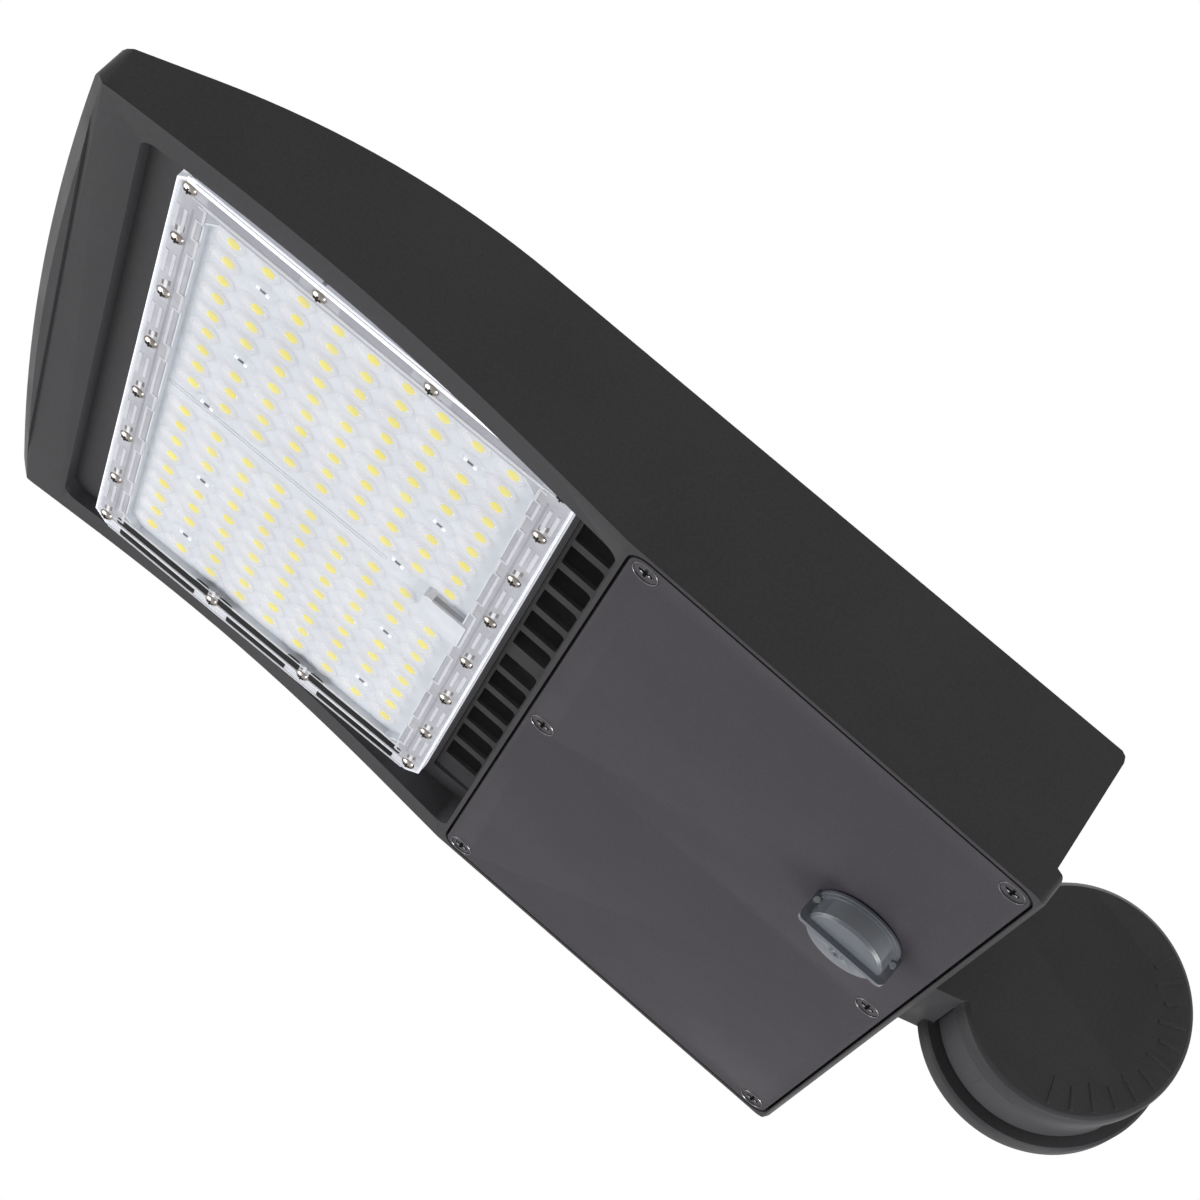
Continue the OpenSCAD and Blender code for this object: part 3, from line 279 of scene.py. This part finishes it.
# Faces of a grid: ring k holds one closed loop of points; a wrapped grid closes on its first ring
def loftFaces(rings, around, closedEnds=True, wrapped=False):
    last = rings if wrapped else rings - 1
    i, j = np.meshgrid(np.arange(last), np.arange(around), indexing="ij")
    a = i * around + j
    b = i * around + (j + 1) % around
    total = rings * around
    quads = np.stack([a, b, (b + around) % total, (a + around) % total], -1).reshape(-1, 4)
    faces = [tuple(q) for q in quads.tolist()]
    if closedEnds and not wrapped:
        faces.append(tuple(range(around))[::-1])
        faces.append(tuple(range((rings - 1) * around, rings * around)))
    return faces


# Rounded rectangle: a quarter circle of n points at each corner
def roundedLoop(x0, x1, y0, y1, r, n=4):
    a = np.radians(np.linspace(0, 90, n))
    turns = a + np.radians([[0], [90], [180], [270]])
    cx = np.array([[x1 - r], [x0 + r], [x0 + r], [x1 - r]])
    cy = np.array([[y1 - r], [y1 - r], [y0 + r], [y0 + r]])
    return np.stack([cx + r * np.cos(turns), cy + r * np.sin(turns)], -1).reshape(-1, 2)


# Low pad on the lens: a rounded rectangle raised from its seat to its top, the top edge eased inwards
def pad(box, seat, top, corner=0.6, ease=0.25):
    x0, x1, y0, y1 = box
    low = roundedLoop(x0, x1, y0, y1, corner)
    high = roundedLoop(x0 + ease, x1 - ease, y0 + ease, y1 - ease, max(corner - ease, 0.05))
    step = seat + (top - seat) * 0.6
    rings = [np.column_stack([low, np.full(len(low), seat)]), np.column_stack([low, np.full(len(low), step)]),
             np.column_stack([high, np.full(len(high), top)])]
    return toPanel(np.concatenate(rings)), loftFaces(3, len(low))


# Outline set inwards: points within the slack of a rounded rectangle move by the step along its inward normal
def shrinkOutline(mesh, corner, step, slack=0.0004):
    p = np.empty(len(mesh.vertices) * 3)
    mesh.vertices.foreach_get("co", p)
    p = p.reshape(-1, 3)
    low, high = p[:, :2].min(0), p[:, :2].max(0)
    q = p[:, :2] - (low + high) / 2
    over = np.abs(q) - (high - low) / 2 + corner
    out = np.maximum(over, 0)
    reach = np.linalg.norm(out, axis=1)
    edge = np.abs(reach - corner) < slack
    p[edge, :2] -= (step * out / np.maximum(reach, 1e-9)[:, None] * np.sign(q))[edge]
    mesh.vertices.foreach_set("co", p.ravel())


# Refined copy of a casting or moulding: the same faces, joined, with soft edges of a given radius
def softEdged(node, name, material, radius, inset=None, segments=2, angle=35):
    source = frame["nodes"][node]
    mesh = source.data.copy()
    mesh.name = name
    bm = bmesh.new()
    bm.from_mesh(mesh)
    bmesh.ops.remove_doubles(bm, verts=bm.verts, dist=2e-6)
    bmesh.ops.dissolve_limit(bm, angle_limit=math.radians(0.4), verts=bm.verts, edges=bm.edges)
    bm.to_mesh(mesh)
    bm.free()
    mesh.materials.clear()
    mesh.materials.append(material)
    mesh.shade_smooth()
    mesh.set_sharp_from_angle(angle=math.radians(angle))
    piece = bpy.data.objects.new(name, mesh)
    scene.collection.objects.link(piece)
    if inset:
        shrinkOutline(mesh, *inset)
    bevel = piece.modifiers.new("softEdge", "BEVEL")
    bevel.width, bevel.segments = radius / 1000, segments
    bevel.limit_method, bevel.angle_limit = "ANGLE", math.radians(angle)
    bevel.use_clamp_overlap = True
    bevel.miter_outer = "MITER_ARC"
    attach(piece, source["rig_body"])
    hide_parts(node)
    return piece


ledGrid = {"pitchY": 15.4, "pitchX": 14.0, "midGap": 25.8, "rows": 9, "cols": 9, "rivetCols": (1, 5),
           "midRivetX": 4.7, "midRivetRows": (0.5, 6.5)}


# Grid places: column by column from the right, row by row from the nose; rivets and the plug take nine
def gridPlaces(g):
    col = np.arange(2 * g["cols"])
    side = np.where(col < g["cols"], col, 2 * g["cols"] - 1 - col)
    x = np.where(col < g["cols"], 1, -1) * (g["midGap"] / 2 + g["pitchX"] * (g["cols"] - 1 - side))
    row = np.arange(g["rows"])
    half = (g["rows"] - 1) / 2
    xx, yy = np.meshgrid(x, (row - half) * g["pitchY"], indexing="ij")
    ss, rr = np.meshgrid(side, row, indexing="ij")
    cc = np.meshgrid(col, row, indexing="ij")[0]
    rivet = np.isin(ss, g["rivetCols"]) & ((rr == 1) | (rr == g["rows"] - 2))
    plug = (cc == g["cols"]) & (rr == g["rows"] - 1)
    led = ~rivet & ~plug
    mid = np.array([(g["midRivetX"], (r - half) * g["pitchY"]) for r in g["midRivetRows"]])
    return np.stack([xx[led], yy[led]], -1), np.concatenate([np.stack([xx[rivet], yy[rivet]], -1), mid])


ledPlaces, rivetPlaces = gridPlaces(ledGrid)
print("grid:", len(ledPlaces), "LEDs,", len(rivetPlaces), "rivets")


# Cap over each place: an oval whose radius falls as the cosine and whose height rises as the sine
def ovalCaps(places, s):
    t = np.linspace(0, math.radians(84), s["rings"])[:, None]
    a = np.linspace(0, 2 * math.pi, s["around"], endpoint=False)[None, :]
    x = s["halfX"] * np.cos(t) * np.cos(a)
    y = s["halfY"] * np.cos(t) * np.sin(a) + s["lean"] * np.sin(t)
    z = -s["seat"] - s["height"] * np.sin(t) + 0 * a
    cap = np.stack([x, y, z], -1).reshape(-1, 3)
    faces = loftFaces(s["rings"], s["around"])
    return joined([(toPanel(cap + (px, py + s["shiftY"], 0)), faces) for px, py in places])


# Sizes of the caps; the clear field behind them is drawn just under the LEDs
optic = {"halfX": 6.1, "halfY": 6.6, "height": 2.9, "shiftY": -1.6, "lean": 1.2, "rings": 6, "around": 18,
         "seat": 1.2}
opticRim = {"halfX": 6.5, "halfY": 7.0, "height": 0.25, "shiftY": -1.6, "lean": 0, "rings": 3, "around": 20,
            "seat": 1.15}
window = {"halfX": 7.0, "halfY": 7.2, "height": 2.9, "shiftY": 0, "lean": 0, "rings": 6, "around": 24,
          "seat": 1.2}
glowPad = {"halfX": 3.1, "halfY": 2.9, "height": 0.3, "shiftY": 0, "lean": 0, "rings": 3, "around": 16,
           "seat": 1.3}
meshPiece("opticRims", ovalCaps(ledPlaces, opticRim), ribClear, "fixture")
meshPiece("opticDomes", ovalCaps(ledPlaces, optic), opticClear, "fixture")
meshPiece("rivetWindows", ovalCaps(rivetPlaces, window), windowClear, "fixture")
opticShade = {"halfX": 2.1, "halfY": 2.7, "height": 0.12, "shiftY": 0, "lean": 0, "rings": 3, "around": 14,
              "seat": 1.2}
shadeShift = (0.9, -3.0)  # the shade beside each LED
meshPiece("opticShades", ovalCaps(ledPlaces + shadeShift, opticShade), lavender, "fixture")
meshPiece("phosphorFields", ovalCaps(ledPlaces, glowPad), phosphor, "fixture")

# Glint on every rivet: a dark streak with a bright fleck at each end, as x0, x1, y0, y1 from the rivet
rivetMarks = {"streak": [(-0.3, 0.3, -1.0, 1.5)], "flecks": [(-0.1, 1.1, -2.6, -1.2), (-1.1, 0.2, 1.8, 3.2)],
              "seat": -1.1, "streakTop": -1.75, "fleckTop": -1.7}


def markPads(places, marks, seat, top):  # one low pad for each mark at each place
    boxes = [(x + m[0], x + m[1], y + m[2], y + m[3]) for x, y in places for m in marks]
    return joined([pad(box, seat, top, 0.2, 0.1) for box in boxes])


streaks = markPads(rivetPlaces, rivetMarks["streak"], rivetMarks["seat"], rivetMarks["streakTop"])
meshPiece("rivetStreaks", streaks, darkScrew, "fixture", False)
flecks = markPads(rivetPlaces, rivetMarks["flecks"], rivetMarks["seat"], rivetMarks["fleckTop"])
meshPiece("rivetFlecks", flecks, edgeGlow, "fixture", False)
print("optics, windows and phosphor made")

# Lens plate: heights are below the LED plane, so they are negative
plate = {"halfX": 150.0, "halfY": 86.65, "chamfer": 6.0, "front": -4.5, "back": -2.3, "fieldX": 135.5,
         "fieldY": 72.5, "fieldZ": -1.1, "fieldBack": -0.75, "wall": 1.5, "edge": 0.5, "wallLean": 0.4,
         "slabGap": 0.45}


def lensPiece(name, part, material):  # a flat-shaded piece of the clear lens
    return meshPiece(name, part, material, "fixture", False)


def chamferedLoop(x, y, z, c):  # eight corners, anticlockwise seen from the back
    loop = [(x - c, y), (x, y - c), (x, -y + c), (x - c, -y),
            (-x + c, -y), (-x, -y + c), (-x, y - c), (-x + c, y)]
    return np.column_stack([loop, np.full(8, z)])


# Flange: a chamfered rectangle's loop carried round its section, from back over front to the field's wall
def flangeRing(s):
    e, c, lean = s["edge"], s["chamfer"], s["wallLean"]
    section = [(s["halfX"], s["halfY"], s["back"]), (s["halfX"], s["halfY"], s["front"] + e),
               (s["halfX"] - e, s["halfY"] - e, s["front"]), (s["fieldX"] + e, s["fieldY"] + e, s["front"]),
               (s["fieldX"], s["fieldY"], s["front"] + e),
               (s["fieldX"] - lean, s["fieldY"] - lean, s["fieldZ"]),
               (s["fieldX"] + s["wall"], s["fieldY"] + s["wall"], s["fieldZ"]),
               (s["fieldX"] + s["wall"], s["fieldY"] + s["wall"], s["back"])]
    rings = np.concatenate([chamferedLoop(x, y, z, c) for x, y, z in section])
    return toPanel(rings), loftFaces(len(section), 8, wrapped=True)


def fieldSlab(s):  # the clear field as a flat slab between two loops
    x, y, c = s["fieldX"] - s["slabGap"], s["fieldY"] - s["slabGap"], s["chamfer"]
    rings = [chamferedLoop(x, y, s["fieldBack"], c), chamferedLoop(x, y, s["fieldZ"], c)]
    return toPanel(np.concatenate(rings)), loftFaces(2, 8)


flange = lensPiece("lensFlange", flangeRing(plate), flangeClear)
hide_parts("lens_panel")
lensPiece("lensField", fieldSlab(plate), fieldClear)


# Frame: a closed ring between two chamfered rectangles, from a deep to a shallow height
def frameRing(outer, inner, deep, shallow, c=6.0):
    section = [(*outer, deep), (*outer, shallow), (*inner, shallow), (*inner, deep)]
    rings = [chamferedLoop(x, y, z, c) for x, y, z in section]
    return toPanel(np.concatenate(rings)), loftFaces(4, 8, wrapped=True)


# Frames round the lens: half sizes outside and inside, then the two heights
lensFrames = {"fieldWall": ((135.6, 72.6), (134.95, 71.95), -1.0, -4.35),
              "gasketLip": ((138.5, 75.5), (132.8, 68.8), 0.3, -0.4),
              "lensSkirt": ((149.95, 86.6), (149.0, 85.6), 1.5, -4.3)}
lensPiece("fieldWall", frameRing(*lensFrames["fieldWall"]), fieldClear)
meshPiece("gasketLip", frameRing(*lensFrames["gasketLip"]), silicone, "fixture", False)
# The lens skirt glows: painted light for the bright side of the lens, which sits in a narrow shaded gap to
# the housing
lensPiece("lensSkirt", frameRing(*lensFrames["lensSkirt"]), edgeGlow)

rib = {"screwX": (-141.2, -102.6, -61.1, -19.6, 24.4, 65.9, 107.4, 143.2), "line": 75.4, "step": 72.9,
       "tabHalf": 6.2, "lean": 1.0, "width": 1.3, "height": 0.35, "padHalf": 8.2, "padOut": 84.3,
       "padIn": 79.2, "padInWide": 1.5, "padOutWide": 1.7, "lastTab": 134, "lastLine": 137}
lensScrew = {"halfX": 3.15, "halfY": 3.15, "height": 1.6, "shiftY": 0, "lean": 0, "rings": 6, "around": 20,
             "seat": 4.52}
shank = {"radius": 1.7, "around": 10, "front": -4.6, "back": 9.0, "bar": 1.55, "barWide": 0.4,
         "barSeat": -5.8, "barTop": -6.2}
rowScrewY = 80.7
sideScrewX = (142.7, -140.7)
sideScrewY = (-24.7, 23.9)


def screwShank(s):  # a plain round bar between the two heights
    n = s["around"]
    a = np.linspace(0, 2 * math.pi, n, endpoint=False)
    ring = s["radius"] * np.stack([np.cos(a), np.sin(a)], -1)
    ends = [np.column_stack([ring, np.full(n, s[k])]) for k in ("front", "back")]
    return np.concatenate(ends), loftFaces(2, n)


screwPlaces = [(x, side * rowScrewY) for x in rib["screwX"] for side in (-1, 1)] + [
    (x, y) for x in sideScrewX for y in sideScrewY]
shankPoints, shankFaces = screwShank(shank)
heads = meshPiece("lensScrewHeads", joined([ovalCaps(screwPlaces, lensScrew)] + [
    (toPanel(shankPoints + (x, y, 0)), shankFaces) for x, y in screwPlaces]), nickel, "fixture")
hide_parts("lens_screws")
# Cross recesses of the lens screws, drawn as dark pads of painted shade
crosses = [pad((x - w, x + w, y - h, y + h), shank["barSeat"], shank["barTop"], 0.05, 0.02)
           for x, y in screwPlaces
           for w, h in ((shank["bar"], shank["barWide"]), (shank["barWide"], shank["bar"]))]
meshPiece("lensScrewRecesses", joined(crosses), paintedShade, "fixture", False)


# Rib along a screw row: it runs on one line and steps towards the field round each screw
def ribRow(s, side):
    parts = []
    w = s["width"] / 2

    def run(x0, x1, y0, y1):
        low, high = sorted((side * y0, side * y1))
        parts.append(pad((x0, x1, low, high), plate["front"] + 0.05, plate["front"] - s["height"], 0.3, 0.2))
    ends = [min(max(x + s["lean"], -s["lastTab"]), s["lastTab"]) for x in s["screwX"]]
    for k, x in enumerate(ends):
        x0, x1 = max(x - s["tabHalf"], -s["lastLine"]), min(x + s["tabHalf"], s["lastLine"])
        run(x0, x1, s["step"] - w, s["step"] + w)
        for xs in (x0, x1):
            run(xs - w, xs + w, s["step"] - w, s["line"] + w)
        if k:
            run(ends[k - 1] + s["tabHalf"], x0, s["line"] - w, s["line"] + w)
            middle = (ends[k - 1] + x) / 2
            run(middle - s["padHalf"], middle + s["padHalf"], s["padIn"], s["padIn"] + s["padInWide"])
            run(middle - s["padHalf"], middle + s["padHalf"], s["padOut"] - s["padOutWide"], s["padOut"])
    return parts


# Painted shade and highlight pads beside each screw stand for the images of the screw shanks in the clear
# flange; at the right edge they are posts
shankMarks = {"edgeX": 140, "shades": [(4.2, 7.8, -1.9, -1.0), (6.2, 10.0, 0.7, 1.8)],
              "lights": [(3.6, 8.8, -0.8, 0.6)], "seat": -4.4, "shadeTop": -4.62, "lightTop": -4.66,
              "postX": (149.85, 150.15), "postY": (-0.9, 0.7), "postZ": (-3.8, 0.6)}
# Outer band along the right edge: a glowing pad, painted light for the bright lens side and gasket seen
# through the flange
outerBand = {"box": (146.0, 149.7, -82.5, 82.5), "seat": -4.4, "top": -4.62}
inner = [place for place in screwPlaces if place[0] < shankMarks["edgeX"]]
shades = markPads(inner, shankMarks["shades"], shankMarks["seat"], shankMarks["shadeTop"])
lensPiece("shankShades", shades, shankShadeTone)
lights = markPads(inner, shankMarks["lights"], shankMarks["seat"], shankMarks["lightTop"])
lensPiece("shankLights", lights, ribClear)
lensPiece("outerBand", pad(outerBand["box"], outerBand["seat"], outerBand["top"], 0.5, 0.2), edgeGlow)
posts = [pad((*shankMarks["postX"], *(y + d for d in shankMarks["postY"])), *shankMarks["postZ"], 0.05, 0.02)
         for x, y in screwPlaces if x > shankMarks["edgeX"]]
lensPiece("shankPosts", joined(posts), shankShadeTone)
lensPiece("lensRibs", joined(ribRow(rib, -1) + ribRow(rib, 1)), ribSoft)

# Channels down both short sides, between the screws, drawn as dark pads of painted shade; the right side's
# are paler grey painted shade and lie elsewhere
channel = {"outer": (-148.5, -143.0), "inner": (-140.4, -135.2), "blob": (-139.6, -131.4),
           "ends": (-75.5, 75.5), "outerEnds": (-73, 73), "outerStop": 8.6, "innerStop": 2.6,
           "blobLong": 7.0, "lineHalf": 79,
           "lineOut": (-149.5, -148.8), "lineMid": (-142.6, -141.0)}
paleChannel = {**channel, "outer": (-145.6, -140.6), "lineMid": (-140.2, -139.6)}


def channelSpans(stop, first, last):  # stretches between the corners and the two side screws
    marks = [first, *[y + d for y in sideScrewY for d in (-stop, stop)], last]
    return list(zip(marks[::2], marks[1::2]))


def channelParts(s, side):  # painted-shade strips between the screws, painted-shade blobs beside them, and the two bright lines of painted edge highlight
    def across(span):
        return sorted((side * span[0], side * span[1]))
    top, seat = plate["front"] - 0.12, plate["front"] + 0.1
    outer = [pad((*across(s["outer"]), a, b), seat, top, 1.0, 0.1)
             for a, b in channelSpans(s["outerStop"], *s["outerEnds"])]
    inner = [pad((*across(s["inner"]), a, b), seat, top, 1.2, 0.1)
             for a, b in channelSpans(s["innerStop"], *s["ends"])]
    for y in sideScrewY:
        for d in (-1, 1):
            low, high = sorted((y + d * s["innerStop"], y + d * (s["innerStop"] + s["blobLong"])))
            inner.append(pad((*across(s["blob"]), low, high), seat, top - 0.02, 2.2, 0.1))
    lines = [pad((*across(s[k]), -s["lineHalf"], s["lineHalf"]), seat, plate["front"] - 0.5, 0.2, 0.15)
             for k in ("lineOut", "lineMid")]
    return outer + inner, lines


dark, edgeHighlights = channelParts(channel, 1)
lensPiece("sideChannels", joined(dark), paintedShade)
pale, paleEdgeHighlights = channelParts(paleChannel, -1)
lensPiece("paleChannels", joined(pale[:3]), shadeClear)  # the outer strips only

# Thin lines: along the short sides, grooves behind the ribs, lines on the field's walls, middle ridges; the
# grooves and the wall lines are grey pads of painted shade
lines = {"edgeX": ((138.6, 139.4), (-133.2, -132.6)), "edgeHalf": 74, "grooveY": 77.6, "grooveHalf": 132,
         "grooveWide": 0.5, "wallX": 135.2, "wallWide": 0.15, "wallHalf": 70, "wallZ": (-2.4, -3.0),
         "ridgeX": (-0.9, 1.3), "ridgeWide": 0.6, "ridgeY": (-71.5, 34), "ridgeZ": (-1.05, -1.5)}
edgeLines = [pad((x0, x1, -lines["edgeHalf"], lines["edgeHalf"]), plate["front"] + 0.1, plate["front"] - 0.5,
                 0.2, 0.15) for x0, x1 in lines["edgeX"]]
# The channels' bright lines in this piece are painted edge highlights along the strips
lensPiece("sideRibs", joined(edgeHighlights + paleEdgeHighlights + edgeLines), ribClear)
grooves = [pad((-lines["grooveHalf"], lines["grooveHalf"], side * lines["grooveY"] - lines["grooveWide"],
                side * lines["grooveY"] + lines["grooveWide"]), plate["front"] + 0.1, plate["front"] - 0.1,
               0.3, 0.1) for side in (-1, 1)]
wallLines = [pad((lines["wallX"] * side - lines["wallWide"], lines["wallX"] * side + lines["wallWide"],
                  -lines["wallHalf"], lines["wallHalf"]), *lines["wallZ"], 0.1, 0.05) for side in (-1, 1)]
lensPiece("flangeGrooves", joined(grooves + wallLines), shadeClear)
ridges = [pad((x, x + lines["ridgeWide"], *lines["ridgeY"]), *lines["ridgeZ"], 0.2, 0.15)
          for x in lines["ridgeX"]]
lensPiece("middleRidges", joined(ridges), ribClear)

# Blank raised cover over the board connector, with its shaded wall on the right
cover = {"x": (-13.5, 6.5), "y": (53.5, 74.7), "top": -5.2, "seat": -1.05, "wallY": (4.5, 71.5),
         "wallZ": (-2.6, -4.4), "catchY": (1.5, 4.5), "catchZ": (-1.3, -5.4)}
coverPad = pad((*cover["x"], *cover["y"]), cover["seat"], cover["top"], 1.0, 0.4)
coverPiece = meshPiece("connectorLid", coverPad, fieldClear, "fixture", False)
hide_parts("connector_cover")
right, near = cover["x"][1], cover["y"][0]
slotWall = pad((right - 0.05, right + 0.25, near + cover["wallY"][0], cover["wallY"][1]), *cover["wallZ"],
               0.1, 0.02)
meshPiece("lidShade", slotWall, shadeClear, "fixture", False)
lidCatch = pad((right - 0.4, right + 1.0, *(near + d for d in cover["catchY"])), *cover["catchZ"], 0.2, 0.1)
meshPiece("lidCatch", lidCatch, ribClear, "fixture", False)
print("lens made")

# Door screws: rim and painted glints in millimetres; heads are told apart by "reach" and "apart" in metres
doorScrews = {"radius": 5.25, "tube": 0.16, "around": 32, "tubeAround": 6, "drop": 0.4, "reach": 0.03,
              "apart": 0.01, "glintAt": ((-0.6, -1.4), (0.1, 1.7)), "glintRadius": 0.55, "glintLift": 0.12}


# Rim: a thin ring at door height round each screw head, in a brighter metal: the head's edge with a painted
# highlight
def screwRims(s, centres):
    a = np.linspace(0, 2 * math.pi, s["around"], endpoint=False)[:, None]
    b = np.linspace(0, 2 * math.pi, s["tubeAround"], endpoint=False)[None, :]
    r = (s["radius"] + s["tube"] * np.cos(b)) / 1000
    z = -s["tube"] * s["drop"] / 1000 + s["tube"] / 1000 * np.sin(b) + 0 * a
    ring = np.stack([r * np.cos(a), r * np.sin(a), z], -1).reshape(-1, 3)
    faces = loftFaces(s["around"], s["tubeAround"], wrapped=True)
    return joined([(ring + c, faces) for c in centres])


def screwCentres(node, height, s):  # middle of each separate head in the node's mesh
    mesh = frame["nodes"][node].data
    points = np.empty(len(mesh.vertices) * 3)
    mesh.vertices.foreach_get("co", points)
    points = points.reshape(-1, 3)
    cells = np.unique(np.round(points[:, :2] / s["reach"]).astype(int), axis=0)
    groups = []
    for c in cells * s["reach"]:
        near = points[np.linalg.norm(points[:, :2] - c, axis=1) < s["reach"]]
        middle = (near[:, :2].min(0) + near[:, :2].max(0)) / 2
        if not any(np.linalg.norm(middle - g) < s["apart"] for g in groups):
            groups.append(middle)
    return [(g[0], g[1], height) for g in groups]


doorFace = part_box("driver_door")[0][2]
rimPlaces = screwCentres("door_screws", doorFace, doorScrews)
meshPiece("doorScrewRims", screwRims(doorScrews, rimPlaces), rimHighlightMetal, "fixture")


# Painted glints in a screw's recess: small caps of bright metal whose height falls as the square of the
# distance
def recessGlints(s, centres):
    t = np.linspace(0, 1, 4)[:, None] * 0.98
    a = np.linspace(0, 2 * math.pi, 10, endpoint=False)[None, :]
    r = s["glintRadius"] * (1 - t)
    z = -s["glintLift"] * (1 - (1 - t) ** 2) + 0 * a
    dome = np.stack([r * np.cos(a), r * np.sin(a), z], -1).reshape(-1, 3) / 1000
    faces = loftFaces(4, 10)
    offsets = [(dx / 1000, dy / 1000, 0) for dx, dy in s["glintAt"]]
    return joined([(dome + np.array(c) + offset, faces) for c in centres for offset in offsets])


meshPiece("doorScrewGlints", recessGlints(doorScrews, rimPlaces), rivetMetal, "fixture")
print("door screws:", len(rimPlaces))

castings = {"housing": ("castHousing", coat, 0.7), "tilt_bracket": ("castBracket", coat, 0.8),
            "driver_door": ("compartmentDoor", doorCoat, 0.35), "pivot_hub": ("castHub", litHubCoat, 0.6),
            "sensor_cap": ("twistCap", capPlastic, 0.35)}
outlineInset = {"driver_door": (0.006, 0.00045)}  # corner radius and step in metres: the gap round the door
for node, (name, material, radius) in castings.items():
    softEdged(node, name, material, radius, outlineInset.get(node))
    print("soft edges:", node)

strip = {"pivotY": 48.0, "outer": 45.15, "inner": 43.8, "turn": 81, "half": 6.3, "steps": 55}


# Membrane: a rectangle swept along an arc about the pivot, which closes the hub's wire window
def windowStrip(s):
    a = np.radians(np.linspace(180 - s["turn"], 180 + s["turn"], s["steps"]))[:, None]
    r = np.array([s["outer"], s["outer"], s["inner"], s["inner"]])[None, :]
    x = np.array([-s["half"], s["half"], s["half"], -s["half"]])[None, :] + 0 * a
    rings = np.stack([x, s["pivotY"] + r * np.cos(a), fixture["pivotZ"] + r * np.sin(a)], -1).reshape(-1, 3)
    return toRow(rings), loftFaces(s["steps"], 4)


meshPiece("windowMembrane", windowStrip(strip), litHubCoat, "hub", False)

finishes = {"door_screws": darkScrew, "board_rivets": chipWhite, "cap_screws": caseMetal,
            "cap_boss_screw": capPlastic, "bracket_bolts": zinc, "pivot_bolt": zinc, "pivot_washer": zinc,
            "driver_screws": zinc, "terminal_screws": zinc, "socket_nut": zinc, "ground_screw": groundGreen,
            "friction_discs": blackRubber, "wire_grommet": blackRubber, "bulkhead_grommet": blackRubber,
            "door_gasket": blackRubber, "cap_seal": blackRubber, "lens_gasket": silicone,
            "led_board_left": boardMask, "led_board_right": boardMask, "led_chips": chipWhite,
            "board_connector": nylonWhite, "led_driver": caseMetal,
            "terminal_block": nylonWhite, "surge_protector": surgeBlue, "sensor_socket": socketPlastic,
            "led_leads": leadRed, "sensor_leads": leadBlue, "input_leads": leadBlack}
for node, material in finishes.items():
    for s in frame["nodes"][node].material_slots:
        s.material = material
print("finishes set")

stageSetup = {"floorZ": -1.25, "floorSize": 14.0, "tone": (0.86, 0.86, 0.86)}


def meshStage(name, corners):  # one flat face that only carries the picture's ground
    mesh = bpy.data.meshes.new(name)
    mesh.from_pydata(corners, [], [(0, 1, 2, 3)])
    o = bpy.data.objects.new(name, mesh)
    scene.collection.objects.link(o)
    return o


def addStage(s):
    h = s["floorSize"] / 2
    floor = meshStage("floor", [(x, y, s["floorZ"]) for x, y in ((-h, -h), (h, -h), (h, h), (-h, h))])
    m, nodes, links, bsdf = newMaterial("paleFloor")
    cloud = spread(nodes, links, noiseOn(nodes, links, 0.8, 2), 0.3, 0.7)
    paler = tuple(c + 0.02 for c in s["tone"])
    links.new(mixColours(nodes, links, cloud, s["tone"], paler), bsdf.inputs["Base Color"])
    bsdf.inputs["Roughness"].default_value = 0.8
    floor.data.materials.append(m)


def areaLight(name, at, to, size, power):  # a square lamp turned from its place to its aim
    data = bpy.data.lights.new(name, "AREA")
    data.shape, data.size, data.energy = "SQUARE", size, power
    o = bpy.data.objects.new(name, data)
    o.location = at
    o.rotation_euler = (Vector(to) - Vector(at)).to_track_quat("-Z", "Y").to_euler()
    scene.collection.objects.link(o)


diffuseShare = 0.3
lamps = {"underFront": ((-0.2, -1.0, -1.0), (0, -0.35, 0), 1.2, 13),
         "underRear": ((-0.2, 0.6, -1.1), (0, -0.1, 0), 1.2, 3),
         "knuckleBox": ((0.02, 0.42, -0.42), (0.0, -0.03, -0.02), 0.3, 2.6),
         "sideSoftbox": ((1.6, 0.2, 0.4), (0, -0.2, 0), 1.0, 1.5),
         "topSoftbox": ((-0.3, -0.6, 1.6), (0, -0.2, 0), 1.6, 26)}


# World: full white to the camera and in reflections, a share of it as diffuse light
def addWorld():
    world = bpy.data.worlds.new("studio")
    scene.world = world
    world.use_nodes = True
    nodes, links = world.node_tree.nodes, world.node_tree.links
    back = nodes["Background"]
    back.inputs["Color"].default_value = (1, 1, 1, 1)
    path = nodes.new("ShaderNodeLightPath")
    seen = nodes.new("ShaderNodeMath")
    seen.operation = "MAXIMUM"
    links.new(path.outputs["Is Camera Ray"], seen.inputs[0])
    links.new(path.outputs["Is Transmission Ray"], seen.inputs[1])
    both = nodes.new("ShaderNodeMath")
    both.operation = "MAXIMUM"
    links.new(seen.outputs[0], both.inputs[0])
    links.new(path.outputs["Is Glossy Ray"], both.inputs[1])
    links.new(spread(nodes, links, both.outputs[0], 0, 1, diffuseShare, 1.0), back.inputs["Strength"])


addStage(stageSetup)
for name, (at, to, size, power) in lamps.items():
    areaLight(name, at, to, size, power)
addWorld()
scene.view_settings.view_transform = "Standard"
print("stage and light set")
